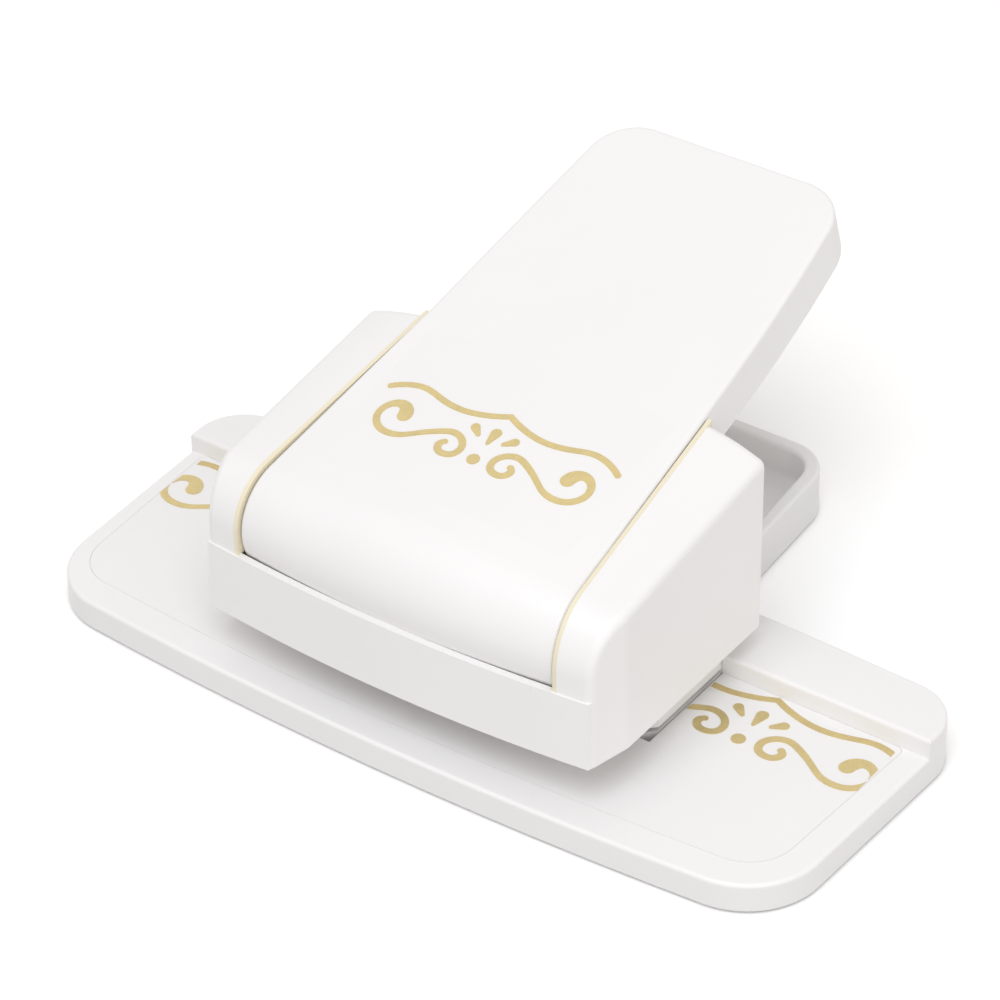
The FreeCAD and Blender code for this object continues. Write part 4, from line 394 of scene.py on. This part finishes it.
def turned(build, points):
    """Wall turned about Z from points given as radius and height."""
    verts = [build.verts.new((radius, 0.0, height)) for radius, height in points]
    edges = [build.edges.new(pair) for pair in zip(verts, verts[1:])]
    bmesh.ops.spin(build, geom=verts + edges, cent=(0, 0, 0), axis=(0, 0, 1), angle=math.tau,
                   steps=ROUND_STEPS, use_merge=True)


def open_edges(build, height):
    """Edges at a height that have at most one face."""
    return [edge for edge in build.edges
            if len(edge.link_faces) < 2
            and all(abs(vert.co.z - height) < LEVEL_TOLERANCE for vert in edge.verts)]


def cross_cap(build, radius):
    """Cap at height zero with a cross sunk into it, narrower at its floor."""
    reach, width = CROSS_REACH * radius, CROSS_WIDTH * radius
    grid = bmesh.ops.create_grid(build, x_segments=3, y_segments=3, size=reach)
    for vert in grid["verts"]:
        for axis in (0, 1):
            if abs(vert.co[axis]) < reach / 2:
                vert.co[axis] = math.copysign(width / 2, vert.co[axis])
    faces = {face for vert in grid["verts"] for face in vert.link_faces}
    corners = [face for face in faces
               if min(abs(axis) for axis in face.calc_center_median().xy) > width / 2]
    bmesh.ops.delete(build, geom=corners, context="FACES")
    bmesh.ops.subdivide_edges(build, edges=open_edges(build, 0.0), cuts=1)
    cross = list(build.faces)
    sunk = bmesh.ops.extrude_face_region(build, geom=cross)["geom"]
    floor = [item for item in sunk if isinstance(item, bmesh.types.BMVert)]
    bmesh.ops.delete(build, geom=[face for face in cross if face.is_valid], context="FACES_ONLY")
    bmesh.ops.scale(build, vec=(CROSS_FLOOR, CROSS_FLOOR, 1.0), verts=floor)
    bmesh.ops.translate(build, vec=(0, 0, CROSS_DEPTH * radius), verts=floor)
    bmesh.ops.create_circle(build, cap_ends=False, segments=ROUND_STEPS, radius=radius)
    bmesh.ops.bridge_loops(build, edges=open_edges(build, 0.0))


def finished_piece(build, name, node, material):
    """Object of a mesh that stands for a node, its foot at the node's foot."""
    bmesh.ops.remove_doubles(build, verts=build.verts, dist=MERGE_DISTANCE)
    bmesh.ops.recalc_face_normals(build, faces=build.faces)
    low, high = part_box(node)
    foot = Vector(((low.x + high.x) / 2, (low.y + high.y) / 2, low.z))
    bmesh.ops.translate(build, vec=foot, verts=build.verts)
    for face in build.faces:
        face.smooth = True
    mesh = bpy.data.meshes.new(name)
    build.to_mesh(mesh)
    build.free()
    mesh.set_sharp_from_angle(angle=SHARP_ANGLE)
    mesh.materials.append(material)
    piece = bpy.data.objects.new(name, mesh)
    bpy.context.scene.collection.objects.link(piece)
    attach(piece, "base")
    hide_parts(node)


def width_and_height(node):
    low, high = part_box(node)
    return high.x - low.x, high.z - low.z


def heading(azimuth, elevation):
    """Direction from the punch to a lamp or the camera."""
    return Vector((math.sin(azimuth) * math.cos(elevation),
                   -math.cos(azimuth) * math.cos(elevation), math.sin(elevation)))


# Pieces

class PUNCH_OT_shells(Operator):
    """Base, head and lever in white plastic"""

    bl_idname = "punch.shells"
    bl_label = "White shells"

    def execute(self, context):
        white = white_plastic("white_plastic", tuple(context.scene.punch_colours.shell))
        finish_nodes(white, "base_shell", "head_shell", "lever_shell", "bottom_cover")
        return {"FINISHED"}


class PUNCH_OT_sheets(Operator):
    """Guide sheet, label and the printed ornament"""

    bl_idname = "punch.sheets"
    bl_label = "Sheets and prints"

    def execute(self, context):
        colours = context.scene.punch_colours
        film = guide_film("guide_film", tuple(colours.shell))
        finish_nodes(film, "deck_sheet", "lever_label")
        gold = gold_foil("gold_foil", tuple(colours.gold))
        finish_nodes(gold, "lever_print", *sides("deck_print"))
        return {"FINISHED"}


class PUNCH_OT_fittings(Operator):
    """Liners, stops, pin, bushes and the press bar"""

    bl_idname = "punch.fittings"
    bl_label = "Fittings"

    def execute(self, context):
        colours = context.scene.punch_colours
        finish_nodes(moulded_liner("cream_liner", tuple(colours.liner)), *sides("side_liner"))
        finish_nodes(soft_rubber("stop_rubber", tuple(colours.rubber)), *sides("stop_pad"))
        finish_nodes(ground_steel("pin_steel"), "pivot_pin")
        finish_nodes(nylon("bush_nylon", (0.62, 0.60, 0.55)), *sides("lever_bush"))
        finish_nodes(nylon("press_nylon", (0.16, 0.16, 0.17)), "press_bar")
        return {"FINISHED"}


class PUNCH_OT_works(Operator):
    """Die set, punch set, posts, springs and screws"""

    bl_idname = "punch.works"
    bl_label = "Steel works"

    def execute(self, context):
        finish_nodes(ground_steel("plate_steel"), "stiffener", "backing_plate")
        finish_nodes(pale_casting("pale_casting"), "die_plate", "paper_stop", "guide_block")
        finish_nodes(cast_zinc("cast_zinc"), "punch_holder")
        upright = ground_steel("punch_steel", level=0.5, fine=0.16, turn=(0.0, math.pi / 2, 0.0))
        finish_nodes(upright, "punch_line", "punch_dot", "punch_drop_middle", *sides("punch_drop"),
                     *sides("punch_scroll"), *sides("post"))
        finish_nodes(turned_brass("turned_brass"), *sides("post_bush"))
        finish_nodes(ground_steel("spring_steel", level=0.42, fine=0.24),
                     *sides("return_spring"), *sides("post_clip"))
        finish_nodes(ground_steel("bolt_steel", level=0.48, fine=0.28),
                     *(f"head_screw_{corner}" for corner in CORNERS),
                     *sides("stiffener_screw"), *sides("holder_screw"))
        self.let_springs_shorten()
        return {"FINISHED"}

    def let_springs_shorten(self):
        """Give each return spring its own copy of its mesh; the seat and stroke worked out here are
        passed on but not used, so the springs keep their length.
        """
        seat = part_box("guide_block")[1].z
        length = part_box("punch_holder")[0].z - seat
        slide = next(joint for joint in frame["joints"] if joint["name"] == "punch_slide")
        stroke = slide["range_m"][1]
        for spring in sides("return_spring"):
            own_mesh(frame["nodes"][spring], "punch_slide", axis=(0, 0, 1), anchor=(0, 0, seat),
                      keep=1 - stroke / length)


class PUNCH_OT_feet(Operator):
    """Rubber feet with a rounded edge and a shallow dish"""

    bl_idname = "punch.feet"
    bl_label = "Rubber feet"

    def execute(self, context):
        rubber = soft_rubber("soft_rubber", tuple(context.scene.punch_colours.rubber))
        for place in (*CORNERS, "tail"):
            node = f"foot_{place}"
            width, height = width_and_height(node)
            edge = width / 2
            build = bmesh.new()
            turned(build, [(0.0, DISH_DEPTH), (DISH_FLOOR * edge, DISH_DEPTH), (DISH_RIM * edge, 0.0),
                           (edge - FOOT_ROUND, 0.0), (edge - FOOT_BEVEL, FOOT_BEVEL),
                           (edge, FOOT_ROUND), (edge, height), (0.0, height)])
            finished_piece(build, f"rubber_{node}", node, rubber)
        return {"FINISHED"}


class PUNCH_OT_screws(Operator):
    """Screws of the underside, their heads with a cross"""

    bl_idname = "punch.screws"
    bl_label = "Underside screws"

    def execute(self, context):
        steel = ground_steel("screw_steel", level=0.48, fine=0.28)
        for corner in CORNERS:
            node = f"cover_screw_{corner}"
            radius = width_and_height(node)[0] / 2
            cone = [(radius, COVER_BEVEL), (COVER_SHANK, radius - COVER_SHANK)]
            self.screw(node, steel, radius - COVER_BEVEL, cone)
        for stem in sides("neck_screw"):
            for node in (f"{stem}_inner", f"{stem}_outer"):
                radius = width_and_height(node)[0] / 2
                head = [(radius, NECK_BEVEL), (radius, NECK_HEAD), (NECK_SHANK, NECK_HEAD)]
                self.screw(node, steel, radius - NECK_BEVEL, head)
        return {"FINISHED"}

    def screw(self, node, steel, flat, flank):
        """Screw with its head below: the flat's radius, then the flank up to the shank."""
        height = width_and_height(node)[1]
        shank = flank[-1][0]
        build = bmesh.new()
        cross_cap(build, flat)
        turned(build, [(flat, 0.0), *flank, (shank, height), (0.0, height)])
        finished_piece(build, f"cross_{node}", node, steel)


class PUNCH_OT_studio(Operator):
    """Floor, lights and camera"""

    bl_idname = "punch.studio"
    bl_label = "Studio"

    def execute(self, context):
        studio = context.scene.punch_studio
        self.floor()
        self.sky(context, studio.sky)
        self.lamp(context, "key", KEY_PLACE, studio.key, KEY_COLOUR)
        self.lamp(context, "fill", FILL_PLACE, studio.fill, FILL_COLOUR)
        self.camera(context, studio)
        context.scene.view_settings.view_transform = "Standard"
        return {"FINISHED"}

    def floor(self):
        """Floor that takes the shadow, and that looks white from the camera."""
        build = bmesh.new()
        bmesh.ops.create_grid(build, x_segments=1, y_segments=1, size=FLOOR_HALF)
        mesh = bpy.data.meshes.new("floor")
        build.to_mesh(mesh)
        build.free()
        plane = bpy.data.objects.new("floor", mesh)
        bpy.context.scene.collection.objects.link(plane)
        material = bpy.data.materials.new("floor_white")
        made = Nodes(material)
        dull = made.node("ShaderNodeBsdfPrincipled", {},
                         {"Base Color": FLOOR_COLOUR, "Roughness": 1.0, "Specular IOR Level": 0.0},
                         "BSDF")
        paper = made.node("ShaderNodeBsdfDiffuse", {}, {"Color": WHITE}, 0)
        glow = made.node("ShaderNodeEmission", {}, {"Color": WHITE, "Strength": FLOOR_GLOW}, 0)
        white = made.node("ShaderNodeAddShader", {}, {0: paper, 1: glow}, 0)
        made.node("ShaderNodeOutputMaterial", {}, {"Surface": made.white_behind(dull, white)})
        mesh.materials.append(material)

    def sky(self, context, strength):
        """Even warm light from all round, and plain white behind the punch."""
        world = bpy.data.worlds.new("studio_sky")
        context.scene.world = world
        made = Nodes(world)
        even = made.node("ShaderNodeBackground", {}, {"Color": SKY_COLOUR, "Strength": strength}, 0)
        white = made.node("ShaderNodeBackground", {}, {"Color": WHITE}, 0)
        made.node("ShaderNodeOutputWorld", {}, {"Surface": made.white_behind(even, white)})

    def lamp(self, context, name, place, power, colour):
        """Round soft lamp that looks at the punch from an azimuth and an elevation."""
        data = bpy.data.lights.new(name, "AREA")
        data.shape = "DISK"
        data.size = LAMP_WIDTH
        data.energy = power
        data.color = colour
        lamp = bpy.data.objects.new(name, data)
        context.scene.collection.objects.link(lamp)
        turn, rise = (math.radians(angle) for angle in place)
        away = heading(turn, rise)
        lamp.location = away * LAMP_REACH
        lamp.rotation_euler = away.to_track_quat("Z", "Y").to_euler()

    def camera(self, context, studio):
        """Camera at the photograph's angle."""
        back = heading(studio.azimuth, studio.elevation)
        right = Vector((math.cos(studio.azimuth), math.sin(studio.azimuth), 0.0))
        turn = Matrix.Rotation(studio.roll, 3, back)
        right = turn @ right
        up = back.cross(right)
        data = bpy.data.cameras.new("camera")
        data.lens = studio.lens
        data.sensor_width = SENSOR_WIDTH
        data.clip_start = NEAR_CLIP
        camera = bpy.data.objects.new("camera", data)
        context.scene.collection.objects.link(camera)
        place = Vector(studio.target) + back * studio.distance
        axes = Matrix((right, up, back)).transposed().to_4x4()
        camera.matrix_world = Matrix.Translation(place) @ axes
        context.scene.camera = camera


OPERATORS = (PUNCH_OT_shells, PUNCH_OT_sheets, PUNCH_OT_fittings, PUNCH_OT_works, PUNCH_OT_feet,
             PUNCH_OT_screws, PUNCH_OT_studio)


class VIEW3D_PT_border_punch(Panel):
    """Sizes and colours, and a button for each group of pieces"""

    bl_label = "Border punch"
    bl_idname = "VIEW3D_PT_border_punch"
    bl_space_type = "VIEW_3D"
    bl_region_type = "UI"
    bl_category = "Border punch"

    def draw(self, context):
        for group in (context.scene.punch_colours, context.scene.punch_studio):
            for name in group.__annotations__:
                self.layout.prop(group, name)
        for operator in OPERATORS:
            self.layout.operator(operator.bl_idname)


CLASSES = (PunchColours, PunchStudio, *OPERATORS, VIEW3D_PT_border_punch)


def register():
    for made in CLASSES:
        bpy.utils.register_class(made)
    bpy.types.Scene.punch_colours = PointerProperty(type=PunchColours)
    bpy.types.Scene.punch_studio = PointerProperty(type=PunchStudio)


def unregister():
    del bpy.types.Scene.punch_studio
    del bpy.types.Scene.punch_colours
    for made in reversed(CLASSES):
        bpy.utils.unregister_class(made)


def main():
    register()
    for operator in OPERATORS:
        group, name = operator.bl_idname.split(".")
        getattr(getattr(bpy.ops, group), name)()


if __name__ == "__main__":
    main()
